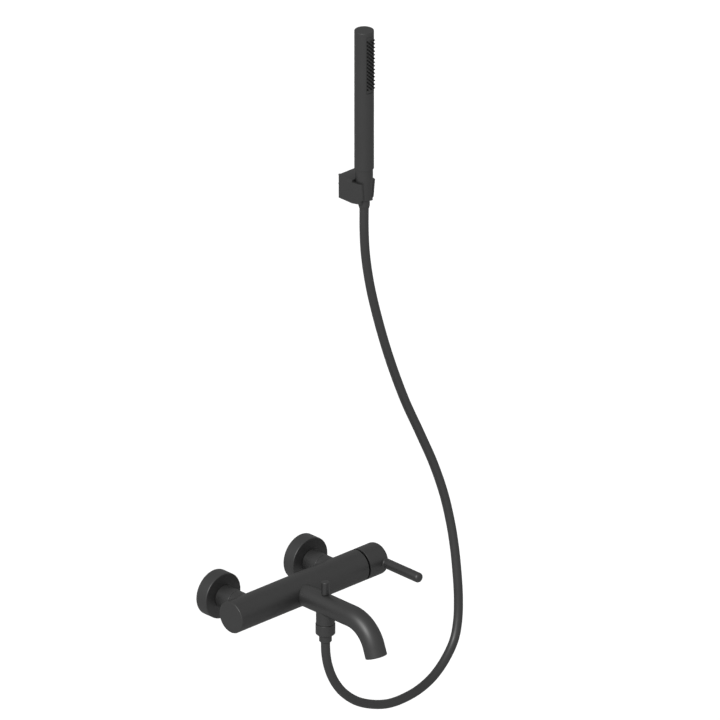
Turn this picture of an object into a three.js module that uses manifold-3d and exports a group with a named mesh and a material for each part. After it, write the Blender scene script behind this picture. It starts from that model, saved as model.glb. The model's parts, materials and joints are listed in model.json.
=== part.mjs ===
// Wall mounted bath faucet with a hand shower on a wall bracket.
// Millimetres, +Z up. The wall is the plane Y = 0 and the faucet stands out from it towards -Y.
// X = 0 lies midway between the two inlets, and Z = 0 is the height of the inlets and of the body axis.
import * as THREE from "three";
import { mergeVertices } from "three/addons/utils/BufferGeometryUtils.js";
import Module from "manifold-3d";

const wasm = await Module();
wasm.setup();

// ---- Driving dimensions --------------------------------------------------

const clearance = 0.3; // between pieces that fit together or rest on each other

const inletSpacing = 150; // between the two wall inlets
const bodyReach = 69.5; // wall to the body axis
const bodyDiameter = 41.6;
const bodyPastLeftInlet = 36.7;
const bodyPastRightInlet = 32.2;
const bodyEndWall = 8; // blind left end
const waterwayBore = 26.4;
const edgeChamfer = 0.8;

const flangeDiameter = 60;
const flangeDepth = 17.7;
const flangeWall = 2;
const tailDiameter = 20.9;
const tailBehindWall = 15;
const tailOffset = 6; // the wall tail lies this far below the union's neck
const neckDiameter = 24;
const unionBore = 14;
const unionNutDiameter = 29;
const unionNutLength = 22;
const nippleDiameter = 19;
const washerThickness = 2.4;
const collarThickness = 2.4;

const handleGap = 3.1; // between the body's end and the cap, for the tilt
const capLength = 33;
const capWall = 2;
const capHollow = 17.7; // depth of the hollow round the hub
const hubDiameter = 17;
const leverDiameter = 12.8;
const leverReach = 81.3; // cap axis to the lever's tip
const leverTipRound = 1.8;
const stemSide = 6;
const stemTilt = THREE.MathUtils.degToRad(7.5); // the handle's tilt from closed to fully open

const spoutDiameter = 27.8;
const spoutWall = 2.5;
const spoutReach = 145; // body axis to the middle of the mouth
const spoutBendRadius = 42;
const spoutBend = THREE.MathUtils.degToRad(70);
const spoutMouthLength = 14; // straight stretch after the bend
const spigotDiameter = 21.6;
const outletReach = 53.5; // body axis to the axis of the diverter and of the shower outlet
const outletBossDiameter = 23.7;
const outletBossDrop = 25.4; // spout axis to the underside of the boss
const outletBossBore = 19.6;

const knobDiameter = 10.5;
const knobHeight = 16.7;
const rodDiameter = 3.6;
const diverterTravel = 6;
const discDiameter = 14;
const discThickness = 2.4;

const hoseDiameter = 11.6;
const hoseNutDiameter = 24.8;
const hoseNutLength = 14.6;
const ferruleDiameter = 16;
const lowerFerruleEnd = -50.9; // height of the lower ferrule's open end
const coneNutCollar = 14.4;
const coneNutSmall = 18.6;
const coneNutLarge = 22.2;
const coneNutBottom = 463.5;
const coneBottom = 475.5; // height where the cone starts above the nut's collar

const showerX = 155.7; // axis of the hand shower and of its bracket
const showerReach = 30.2; // wall to that axis
const showerDiameter = 24.6;
const showerWall = 2;
const showerBottom = 517.7;
const showerLength = 187.7;
const sprayBottom = 623;
const sprayLength = 77;
const sprayHalfAngle = THREE.MathUtils.degToRad(29);
const nozzleRows = 14;
const nozzlePitch = 5;
const nozzleColumns = [-24, -12, 0, 12, 24];
const nozzleDiameter = 1.8;
const nozzleHeight = 2.2;

const bracketWidth = 30;
const bracketDepth = 24;
const bracketBottom = 471.4;
const bracketHeight = 31.8;
const cupTopDiameter = 28;
const cupBottomDiameter = 22.8;
const cupRimDrop = 3; // the cup's rim lies this far below the block's top
const jawReach = 7.3; // cup axis to the front of its jaws
const jawChamferHeight = 6.1; // slanted lower end of the jaws
const hoseSlot = 13.4;
const plateThickness = 5;
const screwDiameter = 4;
const screwBehindWall = 15;

// ---- Places that follow from them ----------------------------------------

const bodyRadius = bodyDiameter / 2;
const boreRadius = waterwayBore / 2;
const leftEnd = -inletSpacing / 2 - bodyPastLeftInlet;
const rightEnd = inletSpacing / 2 + bodyPastRightInlet;
const leverRadius = leverDiameter / 2;
const capStart = rightEnd + handleGap;
const capEnd = capStart + capLength;
const leverX = capEnd - leverRadius;
const spoutRadius = spoutDiameter / 2;
const outletForward = bodyReach + outletReach;
const coneTop = bracketBottom + bracketHeight;
const coneNutTop = showerBottom - clearance;
const showerTop = showerBottom + showerLength;
const showerRadius = showerDiameter / 2;

// How many flat sides a round surface gets.
const largeSides = 32;
const fineSides = 24;
const plainSides = 16;
const smallSides = 10;

// ---- Materials -----------------------------------------------------------

function finish(color, roughness, metalness) {
  return new THREE.MeshStandardMaterial({ color, roughness, metalness });
}
const blackCoat = finish(0x2a2b2d, 0.42, 0.35);
const blackPlastic = finish(0x1c1d1e, 0.55, 0);
const whitePlastic = finish(0xe8e6df, 0.5, 0);
const brass = finish(0xb5935a, 0.35, 0.9);
const steel = finish(0xb9bcc0, 0.3, 0.95);
const rubber = finish(0x161616, 0.85, 0);
const ceramic = finish(0xf2efe8, 0.2, 0);
const silicone = finish(0x3a3c3f, 0.7, 0);

// ---- Solids --------------------------------------------------------------

// A closed geometry as a solid that can be joined and cut.
function solid(geometry) {
  const bare = new THREE.BufferGeometry();
  const source = geometry.index ? geometry.toNonIndexed() : geometry;
  bare.setAttribute("position", source.getAttribute("position"));
  const merged = mergeVertices(bare, 1e-4);
  const index = merged.index.array;
  const kept = [];
  for (let i = 0; i < index.length; i += 3) {
    const [a, b, c] = index.slice(i, i + 3);
    if (a !== b && b !== c && c !== a) kept.push(a, b, c);
  }
  return new wasm.Manifold(
    new wasm.Mesh({
      numProp: 3,
      vertProperties: merged.attributes.position.array,
      triVerts: new Uint32Array(kept),
    }),
  );
}

// A named mesh made from a solid.
function piece(name, made, material) {
  const { numProp, vertProperties, triVerts } = made.getMesh();
  const positions = new Float32Array((vertProperties.length / numProp) * 3);
  for (let i = 0; i * numProp < vertProperties.length; i += 1)
    positions.set(vertProperties.subarray(i * numProp, i * numProp + 3), i * 3);
  const geometry = new THREE.BufferGeometry();
  geometry.setAttribute("position", new THREE.BufferAttribute(positions, 3));
  geometry.setIndex(new THREE.BufferAttribute(triVerts, 1));
  geometry.computeVertexNormals();
  const mesh = new THREE.Mesh(geometry, material);
  mesh.name = name;
  return mesh;
}

const lathed = new THREE.Vector3(0, 1, 0);
const right = new THREE.Vector3(1, 0, 0);
const forward = new THREE.Vector3(0, -1, 0);
const up = new THREE.Vector3(0, 0, 1);

// A point by its X, its distance forward of the wall and its height.
function at(x, distance, z) {
  return new THREE.Vector3(x, -distance, z);
}

// A profile of [radius, distance along the axis] turned round an axis through a point.
// It runs from axis to axis, or it is closed on itself into a ring.
function turned(profile, axis, from, sides = plainSides) {
  const points = profile.map(([r, h]) => new THREE.Vector2(r, h));
  let area = 0;
  points.forEach((p, i) => {
    const q = points[(i + 1) % points.length];
    area += p.x * q.y - q.x * p.y;
  });
  if (area < 0) points.reverse();
  if (points[0].x > 0) points.push(points[0].clone());
  const geometry = new THREE.LatheGeometry(points, sides);
  geometry.applyQuaternion(new THREE.Quaternion().setFromUnitVectors(lathed, axis));
  geometry.translate(from.x, from.y, from.z);
  return solid(geometry);
}

// A plain rod, from one distance to another along its axis.
function rod(radius, start, end, axis, from, sides = plainSides) {
  const profile = [
    [0, start],
    [radius, start],
    [radius, end],
    [0, end],
  ];
  return turned(profile, axis, from, sides);
}

// A plain ring, from one distance to another along its axis.
function ring(outer, inner, start, end, axis, from, sides = plainSides) {
  const profile = [
    [inner, start],
    [outer, start],
    [outer, end],
    [inner, end],
  ];
  return turned(profile, axis, from, sides);
}

// A block between two corners.
function block(low, high) {
  const geometry = new THREE.BoxGeometry(high.x - low.x, high.y - low.y, high.z - low.z);
  geometry.translate((low.x + high.x) / 2, (low.y + high.y) / 2, (low.z + high.z) / 2);
  return solid(geometry);
}

// A block by its X range, its range forward of the wall and its height range.
function slab(x0, x1, near, far, z0, z1) {
  return block(new THREE.Vector3(x0, -far, z0), new THREE.Vector3(x1, -near, z1));
}

// The points of a rounded outer edge: a quarter circle from the side to the end face.
function roundedEdge(outer, end, radius, steps) {
  const points = [];
  for (let i = 0; i <= steps; i += 1) {
    const angle = (Math.PI / 2) * (i / steps);
    points.push([
      outer - radius + radius * Math.cos(angle),
      end - radius + radius * Math.sin(angle),
    ]);
  }
  return points;
}

// A round section swept along a curve, with flat ends square to it.
function swept(radius, curve, steps, sides) {
  const section = new THREE.Shape();
  for (let i = 0; i < sides; i += 1) {
    const angle = (2 * Math.PI * i) / sides;
    const x = radius * Math.cos(angle);
    const y = radius * Math.sin(angle);
    if (i === 0) section.moveTo(x, y);
    else section.lineTo(x, y);
  }
  section.closePath();
  return solid(
    new THREE.ExtrudeGeometry(section, { steps, extrudePath: curve, curveSegments: 1 }),
  );
}

// ---- Wall unions and flanges ---------------------------------------------

const neckEnd = flangeDepth + 12.8; // front of the union's neck, inside the nut
const washerStart = neckEnd + clearance;
const collarStart = washerStart + washerThickness + clearance;
const nutStart = flangeDepth + clearance;
const nutEnd = nutStart + unionNutLength;
const bossEnd = nutEnd + clearance;
const nippleEnd = bodyReach - boreRadius - 2;

// Threaded tail in the wall, offset from the neck that carries the flange and the nut.
function wallUnion(name, x) {
  const tailAxis = at(x, 0, -tailOffset);
  const neckAxis = at(x, 0, 0);
  const tailRadius = tailDiameter / 2;
  const outside = rod(tailRadius, -tailBehindWall, 5, forward, tailAxis)
    .add(rod(tailRadius + 3, 3, 7, forward, tailAxis))
    .add(rod(neckDiameter / 2, 4, neckEnd, forward, neckAxis));
  const way = rod(unionBore / 2, -tailBehindWall - 1, 6.5, forward, tailAxis)
    .add(rod(unionBore / 2, 5, neckEnd + 1, forward, neckAxis));
  return piece(name, outside.subtract(way), brass);
}

// Deep cup against the wall, screwed on the union's neck.
function flange(name, x) {
  const outer = flangeDiameter / 2;
  const hole = neckDiameter / 2 + clearance;
  const profile = [
    [hole, flangeDepth],
    [hole, flangeDepth - flangeWall * 3],
    [hole + 2.5, flangeDepth - flangeWall * 3],
    [hole + 2.5, flangeDepth - flangeWall],
    [outer - flangeWall, flangeDepth - flangeWall],
    [outer - flangeWall, 0],
    [outer, 0],
    ...roundedEdge(outer, flangeDepth, 1.2, 2),
  ];
  return piece(name, turned(profile, forward, at(x, 0, 0), largeSides), blackCoat);
}

// Swivel nut that pulls the nipple's collar and the washer against the neck.
function unionNut(name, x) {
  const outer = unionNutDiameter / 2;
  const thread = neckDiameter / 2 + clearance;
  const shoulder = collarStart + collarThickness + clearance;
  const hole = nippleDiameter / 2 + clearance;
  const profile = [
    [thread, nutStart],
    [outer - edgeChamfer / 2, nutStart],
    [outer, nutStart + edgeChamfer / 2],
    [outer, nutEnd - edgeChamfer / 2],
    [outer - edgeChamfer / 2, nutEnd],
    [hole, nutEnd],
    [hole, shoulder],
    [thread, shoulder],
  ];
  return piece(name, turned(profile, forward, at(x, 0, 0), fineSides), blackCoat);
}

function filterWasher(name, x) {
  const outer = neckDiameter / 2;
  const end = washerStart + washerThickness;
  return piece(name, ring(outer, unionBore / 2, washerStart, end, forward, at(x, 0, 0)), rubber);
}

// Threaded into the body's boss, with a collar that the nut holds.
function inletNipple(name, x) {
  const outer = nippleDiameter / 2;
  const profile = [
    [unionBore / 2, collarStart],
    [neckDiameter / 2, collarStart],
    [neckDiameter / 2, collarStart + collarThickness],
    [outer, collarStart + collarThickness],
    [outer, nippleEnd],
    [unionBore / 2, nippleEnd],
  ];
  return piece(name, turned(profile, forward, at(x, 0, 0)), brass);
}

// Non-return valve: a sleeve with a mushroom seat, pushed into a bore.
function returnValve(name, bore, start, length, axis, from) {
  const outer = bore / 2 - clearance;
  const profile = [
    [outer * 0.3, start],
    [outer, start],
    [outer, start + length],
    [outer * 0.8, start + length],
    [outer * 0.5, start + length / 2],
  ];
  return piece(name, turned(profile, axis, from), whitePlastic);
}

// ---- Body ----------------------------------------------------------------

function mixerBody() {
  const axis = at(0, bodyReach, 0);
  const profile = [
    [0, leftEnd],
    [bodyRadius - edgeChamfer, leftEnd],
    [bodyRadius, leftEnd + edgeChamfer],
    [bodyRadius, rightEnd - 0.3],
    [bodyRadius - 0.3, rightEnd],
    [0, rightEnd],
  ];
  let made = turned(profile, right, axis, largeSides);
  for (const x of [-inletSpacing / 2, inletSpacing / 2])
    made = made.add(rod(unionNutDiameter / 2, bossEnd, bodyReach - 10, forward, at(x, 0, 0), fineSides));
  made = made.subtract(rod(boreRadius, leftEnd + bodyEndWall, rightEnd + 1, right, axis));
  for (const x of [-inletSpacing / 2, inletSpacing / 2]) {
    const hole = nippleDiameter / 2 + clearance;
    made = made.subtract(rod(hole, bossEnd - 1, bodyReach - 4, forward, at(x, 0, 0)));
  }
  const port = rod(spigotDiameter / 2 + clearance, 2, bodyRadius + 2, forward, axis);
  return piece("mixer_body", made.subtract(port), blackCoat);
}

const landRadius = boreRadius - clearance;
const landWidth = 6;
const lands = [-50, 46]; // left side of each land
const seatPlate = 80;
const grooveDepth = 1.8;
const portRadius = 2.2;
const returnPipeHeight = boreRadius - portRadius - 2.6;
const centrePortRadius = 3.2;

// Ports of the cartridge: hot in the middle, mixed above, cold below.
function ports(start, end) {
  const axis = at(0, bodyReach, 0);
  return rod(centrePortRadius, start, end, right, axis, smallSides)
    .add(rod(portRadius, start, end, right, at(0, bodyReach, returnPipeHeight), smallSides))
    .add(rod(portRadius, start, end, right, at(0, bodyReach, -returnPipeHeight), smallSides));
}

// Carries hot water past the mixed chamber, and mixed water back past the cold one.
function innerWaterway() {
  const axis = at(0, bodyReach, 0);
  const high = at(0, bodyReach, returnPipeHeight);
  const tube = 5.6;
  let made = rod(tube, lands[0] - 8, seatPlate + 4, right, axis)
    .add(rod(landRadius, seatPlate, seatPlate + 4, right, axis))
    .add(rod(portRadius + 1, lands[1], seatPlate + 2, right, high, smallSides));
  const inner = landRadius - grooveDepth;
  for (const start of lands) {
    const groove = ring(landRadius + 1, inner, start + 1.8, start + landWidth - 1.8, right, axis);
    made = made.add(rod(landRadius, start, start + landWidth, right, axis)).subtract(groove);
  }
  made = made.subtract(rod(4.2, lands[0] - 9, seatPlate - 1, right, axis, smallSides));
  made = made.subtract(rod(portRadius, lands[1] - 1, seatPlate + 1, right, high, smallSides));
  return piece("inner_waterway", made.subtract(ports(seatPlate - 2, seatPlate + 5)), whitePlastic);
}

function waterwaySeal(name, start) {
  const inner = landRadius - grooveDepth + clearance;
  const made = ring(landRadius, inner, start + 2.1, start + landWidth - 2.1, right, at(0, bodyReach, 0));
  return piece(name, made, rubber);
}

// ---- Cartridge -----------------------------------------------------------

const cartridgeAxis = at(0, bodyReach, 0);
const baseSealStart = seatPlate + 4 + clearance;
const baseStart = baseSealStart + 1.8 + clearance;
const housingStart = baseStart + 2.6 + clearance;
const discRadius = 11;
const fixedDiscEnd = housingStart + 3;
const movingDiscStart = fixedDiscEnd + clearance;
const movingDiscEnd = movingDiscStart + 4;
const turretStart = movingDiscEnd + clearance;
const pivotX = turretStart + 5.1;
const housingEnd = pivotX + 1.5;
const turretEnd = housingEnd + 3;
const ballStart = movingDiscEnd - 1.7; // the stem's ball end, inside the moving disc's pocket
const ballRadius = 1.9;
const hubStart = capStart + 3.4;
const stemEnd = hubStart + 7.6;

function cartridgeBaseSeal() {
  const made = rod(landRadius, baseSealStart, baseSealStart + 1.8, right, cartridgeAxis);
  return piece("cartridge_base_seal", made.subtract(ports(baseSealStart - 1, baseStart)), rubber);
}

function cartridgeBase() {
  const made = rod(landRadius, baseStart, baseStart + 2.6, right, cartridgeAxis);
  return piece("cartridge_base", made.subtract(ports(baseStart - 1, housingStart)), blackPlastic);
}

function fixedDisc() {
  const side = rod(1.8, housingStart - 1, fixedDiscEnd + 1, right, at(0, bodyReach, 7.4), smallSides)
    .add(rod(1.8, housingStart - 1, fixedDiscEnd + 1, right, at(0, bodyReach, -7.4), smallSides))
    .add(rod(3.2, housingStart - 1, fixedDiscEnd + 1, right, cartridgeAxis, smallSides));
  const made = rod(discRadius - clearance, housingStart, fixedDiscEnd, right, cartridgeAxis);
  return piece("ceramic_disc_fixed", made.subtract(side), ceramic);
}

// Slides on the fixed disc as the stem tilts, and turns with the turning head.
function movingDisc() {
  const pocketRadius = ballRadius + clearance;
  const pocketStart = ballStart - clearance;
  const pocket = rod(pocketRadius, pocketStart, movingDiscEnd + 1, right, cartridgeAxis, smallSides);
  const channelAxis = at(0, bodyReach, 2);
  const channel = rod(4.5, movingDiscStart - 1, movingDiscStart + 1.2, right, channelAxis, smallSides);
  const made = rod(8.8, movingDiscStart, movingDiscEnd, right, cartridgeAxis);
  return piece("ceramic_disc_moving", made.subtract(pocket).subtract(channel), ceramic);
}

function cartridgeHousing() {
  const lip = pivotX - 1.5;
  const profile = [
    [discRadius, housingStart],
    [landRadius, housingStart],
    [landRadius, housingEnd],
    [8.3, housingEnd],
    [8.3, lip],
    [discRadius, lip],
  ];
  return piece("cartridge_housing", turned(profile, right, cartridgeAxis), blackPlastic);
}

// Turning head: it carries the stem on its pin, and sets the temperature.
function turningHead() {
  const flangeTop = pivotX - 1.8;
  const profile = [
    [0, turretStart],
    [discRadius - clearance, turretStart],
    [discRadius - clearance, flangeTop],
    [8, flangeTop],
    [8, turretEnd],
    [0, turretEnd],
  ];
  const half = stemSide / 2;
  const swing = half + (pivotX - turretStart) * Math.tan(stemTilt) + 3 * clearance;
  const slot = slab(
    turretStart - 1,
    turretEnd + 1,
    bodyReach - swing,
    bodyReach + swing,
    -half - clearance,
    half + clearance,
  );
  const pinHole = rod(1.5, -10, 10, up, at(pivotX, bodyReach, 0), smallSides);
  const made = turned(profile, right, cartridgeAxis).subtract(slot).subtract(pinHole);
  return piece("cartridge_turning_head", made, blackPlastic);
}

function stemPin() {
  return piece("stem_pin", rod(1.2, -7.4, 7.4, up, at(pivotX, bodyReach, 0), smallSides), steel);
}

// Square stem, pinned in the turning head, with a ball end in the moving disc.
function cartridgeStem() {
  const half = stemSide / 2;
  const square = slab(turretStart + 0.6, stemEnd, bodyReach - half, bodyReach + half, -half, half);
  const ball = rod(ballRadius, ballStart, turretStart + 1, right, cartridgeAxis, smallSides);
  const pinHole = rod(1.5, -10, 10, up, at(pivotX, bodyReach, 0), smallSides);
  return piece("cartridge_stem", square.add(ball).subtract(pinHole), brass);
}

// Screwed into the body's end over the housing. Its dark rim stands in the gap under the cap.
function cartridgeNut() {
  const rim = bodyRadius - capWall - 1.3;
  const rimStart = rightEnd + clearance;
  const rimEnd = rimStart + 4;
  const profile = [
    [8.6, housingEnd + clearance],
    [landRadius, housingEnd + clearance],
    [landRadius, rimStart],
    [rim, rimStart],
    [rim, rimStart + 2.6],
    [rim - 2.4, rimEnd],
    [8.6, rimEnd],
  ];
  return piece("cartridge_nut", turned(profile, right, cartridgeAxis), blackPlastic);
}

// ---- Handle --------------------------------------------------------------

const grubX = hubStart + 4;
const grubRadius = 2.2;

function handle() {
  const shell = turned(
    [
      [0, capStart],
      [bodyRadius - 0.3, capStart],
      [bodyRadius, capStart + 0.3],
      ...roundedEdge(bodyRadius, capEnd, leverRadius, 6),
      [0, capEnd],
    ],
    right,
    cartridgeAxis,
    largeSides,
  );
  const lever = turned(
    [
      [0, 0],
      [leverRadius, 0],
      ...roundedEdge(leverRadius, leverReach, leverTipRound, 3),
      [0, leverReach],
    ],
    forward,
    at(leverX, bodyReach, 0),
    fineSides,
  );
  const hollow = ring(
    bodyRadius - capWall,
    hubDiameter / 2,
    capStart - 1,
    capStart + capHollow,
    right,
    cartridgeAxis,
    fineSides,
  );
  const mouth = rod(hubDiameter / 2 + 0.5, capStart - 1, hubStart, right, cartridgeAxis);
  const socket = stemSide / 2 + clearance;
  const socketCut = slab(
    hubStart - 1,
    stemEnd + clearance,
    bodyReach - socket,
    bodyReach + socket,
    -socket,
    socket,
  );
  const screwHole = rod(grubRadius + clearance, -bodyRadius - 1, 0, up, at(grubX, bodyReach, 0), smallSides);
  return piece(
    "handle",
    shell.add(lever).subtract(hollow).subtract(mouth).subtract(socketCut).subtract(screwHole),
    blackCoat,
  );
}

// Clamps the stem in the handle's hub, reached through a hole under the cap.
function handleGrubScrew() {
  const topZ = -stemSide / 2 - clearance;
  const axis = at(grubX, bodyReach, 0);
  const key = rod(1.2, -hubDiameter / 2, -hubDiameter / 2 + 2, up, axis, 6);
  const made = rod(grubRadius, -hubDiameter / 2 + 0.4, topZ, up, axis, smallSides);
  return piece("handle_grub_screw", made.subtract(key), steel);
}

// ---- Spout ---------------------------------------------------------------

// Centre line of the spout: straight out, a bend downwards, and a short straight mouth.
// Each joint between them falls on a step, and overrun lengthens both ends.
class SpoutLine extends THREE.Curve {
  constructor(start, overrun) {
    super();
    this.start = start;
    this.overrun = overrun;
  }
  getPoint(t) {
    const bendEnd = spoutBendRadius * (1 - Math.cos(spoutBend));
    const bendForward = spoutBendRadius * Math.sin(spoutBend);
    const mouth = spoutMouthLength * Math.cos(spoutBend);
    const bendStart = spoutReach - bendForward - mouth;
    const first = 1 / spoutSteps;
    const last = 1 - first;
    if (t <= first) {
      const distance = THREE.MathUtils.lerp(this.start, bendStart, t / first);
      return at(0, bodyReach + distance, 0);
    }
    if (t <= last) {
      const angle = (spoutBend * (t - first)) / (last - first);
      const along = bendStart + spoutBendRadius * Math.sin(angle);
      return at(0, bodyReach + along, -spoutBendRadius * (1 - Math.cos(angle)));
    }
    const past = ((t - last) / first) * (spoutMouthLength + this.overrun);
    return at(
      0,
      bodyReach + bendStart + bendForward + past * Math.cos(spoutBend),
      -bendEnd - past * Math.sin(spoutBend),
    );
  }
  getPointAt(t) {
    return this.getPoint(t);
  }
  getTangentAt(t, target) {
    return this.getTangent(t, target);
  }
}
const spoutSteps = 10;
const spoutBoreRadius = spoutRadius - spoutWall;
const mouthCentre = new SpoutLine(0, 0).getPoint(1);
const mouthAxis = new THREE.Vector3(0, -Math.cos(spoutBend), -Math.sin(spoutBend));
const outletAxis = at(0, outletForward, 0);
const glandRadius = 4;

function spout() {
  const axis = at(0, bodyReach, 0);
  const saddle = rod(bodyRadius + clearance, -40, 40, right, axis, largeSides);
  const webEnd = bodyRadius + 5;
  const tube = swept(spoutRadius, new SpoutLine(8, 0), spoutSteps, fineSides).subtract(saddle);
  const spigotRadius = spigotDiameter / 2;
  const spigot = rod(spigotRadius, boreRadius + 1.2, webEnd, forward, axis);
  const groove = ring(spigotRadius + 1, spigotRadius - 1.4, 16, 18, forward, axis);
  const boss = rod(outletBossDiameter / 2, -outletBossDrop, -5, up, outletAxis, fineSides);
  const bore = swept(spoutBoreRadius, new SpoutLine(webEnd, 1), spoutSteps, fineSides);
  const spigotWay = rod(spigotRadius - 2.6, boreRadius, webEnd + 1, forward, axis);
  const bossWay = rod(outletBossBore / 2, -outletBossDrop - 1, 0, up, outletAxis);
  const glandHole = rod(glandRadius + clearance, 5, spoutRadius + 1, up, outletAxis);
  const made = tube
    .add(spigot.subtract(groove))
    .add(boss)
    .subtract(bore)
    .subtract(spigotWay)
    .subtract(bossWay)
    .subtract(glandHole);
  return piece("spout", made, blackCoat);
}

function spoutSeal() {
  const outer = spigotDiameter / 2;
  const made = ring(outer, outer - 1.4 + clearance, 16.3, 17.7, forward, at(0, bodyReach, 0));
  return piece("spout_seal", made, rubber);
}

const aeratorDepth = 9;
const aeratorRadius = spoutBoreRadius - clearance;

// Threaded shell in the spout's mouth, its lip just inside the mouth.
function aeratorShell() {
  const profile = [
    [aeratorRadius - 1.6, -aeratorDepth],
    [aeratorRadius, -aeratorDepth],
    [aeratorRadius, -0.5],
    [aeratorRadius - 2.6, -0.5],
    [aeratorRadius - 2.6, -1.8],
    [aeratorRadius - 1.6, -1.8],
  ];
  return piece("aerator_shell", turned(profile, mouthAxis, mouthCentre, fineSides), blackCoat);
}

// Jet former: a disc with a ring of passages.
function aeratorInsert() {
  const outer = aeratorRadius - 1.6 - clearance;
  let made = rod(outer, -aeratorDepth + 0.6, -2.1, mouthAxis, mouthCentre);
  const across = new THREE.Vector3(1, 0, 0);
  const other = new THREE.Vector3().crossVectors(mouthAxis, across);
  for (let i = 0; i < 8; i += 1) {
    const angle = (Math.PI / 4) * i;
    const from = mouthCentre
      .clone()
      .addScaledVector(across, 5.4 * Math.cos(angle))
      .addScaledVector(other, 5.4 * Math.sin(angle));
    made = made.subtract(rod(1.4, -aeratorDepth, -1, mouthAxis, from, 8));
  }
  return piece("aerator_insert", made, whitePlastic);
}

function aeratorWasher() {
  const start = -aeratorDepth - clearance - 1.8;
  const end = -aeratorDepth - clearance;
  return piece(
    "aerator_washer",
    ring(aeratorRadius, aeratorRadius - 3, start, end, mouthAxis, mouthCentre),
    rubber,
  );
}

// ---- Diverter ------------------------------------------------------------

const rodRadius = rodDiameter / 2;
const upperSeat = 0; // underside of the seat on the way to the spout
const lowerSeat = upperSeat - diverterTravel - discThickness - 2 * clearance; // top of the outlet's seat
const discBottom = lowerSeat + clearance;
const discTop = discBottom + discThickness;
const sleeveBottom = -12;
const sleeveTop = 5.4;

// Sleeve with two seats: the disc closes the lower one at rest and the upper one when lifted.
function diverterSeat() {
  const outer = outletBossBore / 2 - clearance;
  const inner = outer - 1.5;
  const profile = [
    [5.4, sleeveBottom],
    [outer, sleeveBottom],
    [outer, sleeveTop],
    [inner, sleeveTop],
    [inner, upperSeat + 1.6],
    [5, upperSeat + 1.6],
    [5, upperSeat],
    [inner, upperSeat],
    [inner, lowerSeat],
    [5.4, lowerSeat],
  ];
  const window = slab(-5, 5, outletForward - 12, outletForward - 3, -6.5, -0.5);
  return piece("diverter_seat", turned(profile, up, outletAxis).subtract(window), brass);
}

const knobStart = spoutRadius + 0.4;
const rodTop = knobStart + 10;

// Rod with a collar above the disc.
function diverterRod() {
  const profile = [
    [0, sleeveBottom + 0.6],
    [rodRadius, sleeveBottom + 0.6],
    [rodRadius, discTop + clearance],
    [4, discTop + clearance],
    [4, discTop + 1.8],
    [rodRadius, discTop + 1.8],
    [rodRadius, rodTop],
    [0, rodTop],
  ];
  return piece("diverter_rod", turned(profile, up, outletAxis, smallSides), brass);
}

function diverterDisc() {
  const made = ring(discDiameter / 2, rodRadius + clearance, discBottom, discTop, up, outletAxis);
  return piece("diverter_disc", made, rubber);
}

function diverterRodNut() {
  const top = discBottom - clearance;
  const made = ring(3.6, rodRadius + clearance, top - 2.2, top, up, outletAxis, 6);
  return piece("diverter_rod_nut", made, brass);
}

// Guide bush in the spout's top wall, round the rod.
function diverterGland() {
  const made = ring(
    glandRadius,
    rodRadius + clearance,
    sleeveTop + 3.2,
    spoutRadius - 0.2,
    up,
    outletAxis,
  );
  return piece("diverter_gland", made, blackCoat);
}

function diverterKnob() {
  const outer = knobDiameter / 2;
  const bottom = knobStart;
  const top = bottom + knobHeight;
  const hole = rodRadius + clearance;
  const profile = [
    [0, rodTop + clearance],
    [hole, rodTop + clearance],
    [hole, bottom],
    [outer - 0.3, bottom],
    [outer, bottom + 0.3],
    ...roundedEdge(outer, top, 0.6, 3),
    [0, top],
  ];
  return piece("diverter_knob", turned(profile, up, outletAxis, fineSides), blackCoat);
}

// ---- Shower outlet and lower end of the hose -------------------------------

const nippleTop = sleeveBottom - clearance;
const threadTop = -outletBossDrop - clearance;
const threadBottom = threadTop - 7.4;
const outletBore = 14.4;
const nutTop = -outletBossDrop - 0.5;
const nutBottom = nutTop - hoseNutLength;
const lowerWasherTop = threadBottom - clearance;
const lowerFlangeTop = lowerWasherTop - 1.8 - clearance;
const lowerFlangeBottom = lowerFlangeTop - 1.9;
const hoseHole = hoseDiameter / 2 + clearance;
const hoseStart = lowerFerruleEnd + 8.6;

function outletNipple() {
  const profile = [
    [outletBore / 2, threadBottom],
    [10.3, threadBottom],
    [10.3, threadTop],
    [outletBossBore / 2 - clearance, threadTop],
    [outletBossBore / 2 - clearance, nippleTop],
    [outletBore / 2, nippleTop],
  ];
  return piece("outlet_nipple", turned(profile, up, outletAxis), brass);
}

function hoseNut() {
  const outer = hoseNutDiameter / 2;
  const hole = ferruleDiameter / 2 + clearance;
  const shoulder = lowerFlangeBottom - clearance;
  const profile = [
    [hole, nutBottom],
    [outer - 1.2, nutBottom],
    [outer, nutBottom + 1.2],
    [outer, nutTop - 0.4],
    [outer - 0.4, nutTop],
    [10.6, nutTop],
    [10.6, shoulder],
    [hole, shoulder],
  ];
  return piece("hose_nut_lower", turned(profile, up, outletAxis, fineSides), blackCoat);
}

function lowerWasher() {
  const made = ring(10.2, 5, lowerWasherTop - 1.8, lowerWasherTop, up, outletAxis);
  return piece("hose_washer_lower", made, rubber);
}

function lowerFerrule() {
  const outer = ferruleDiameter / 2;
  const profile = [
    [hoseHole, lowerFerruleEnd],
    [outer - 1.2, lowerFerruleEnd],
    [outer, lowerFerruleEnd + 1.2],
    [outer, lowerFlangeBottom],
    [10.2, lowerFlangeBottom],
    [10.2, lowerFlangeTop],
    [4.4, lowerFlangeTop],
    [4.4, hoseStart + clearance],
    [hoseHole, hoseStart + clearance],
  ];
  return piece("hose_ferrule_lower", turned(profile, up, outletAxis, fineSides), blackCoat);
}

// ---- Upper end of the hose -------------------------------------------------

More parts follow.
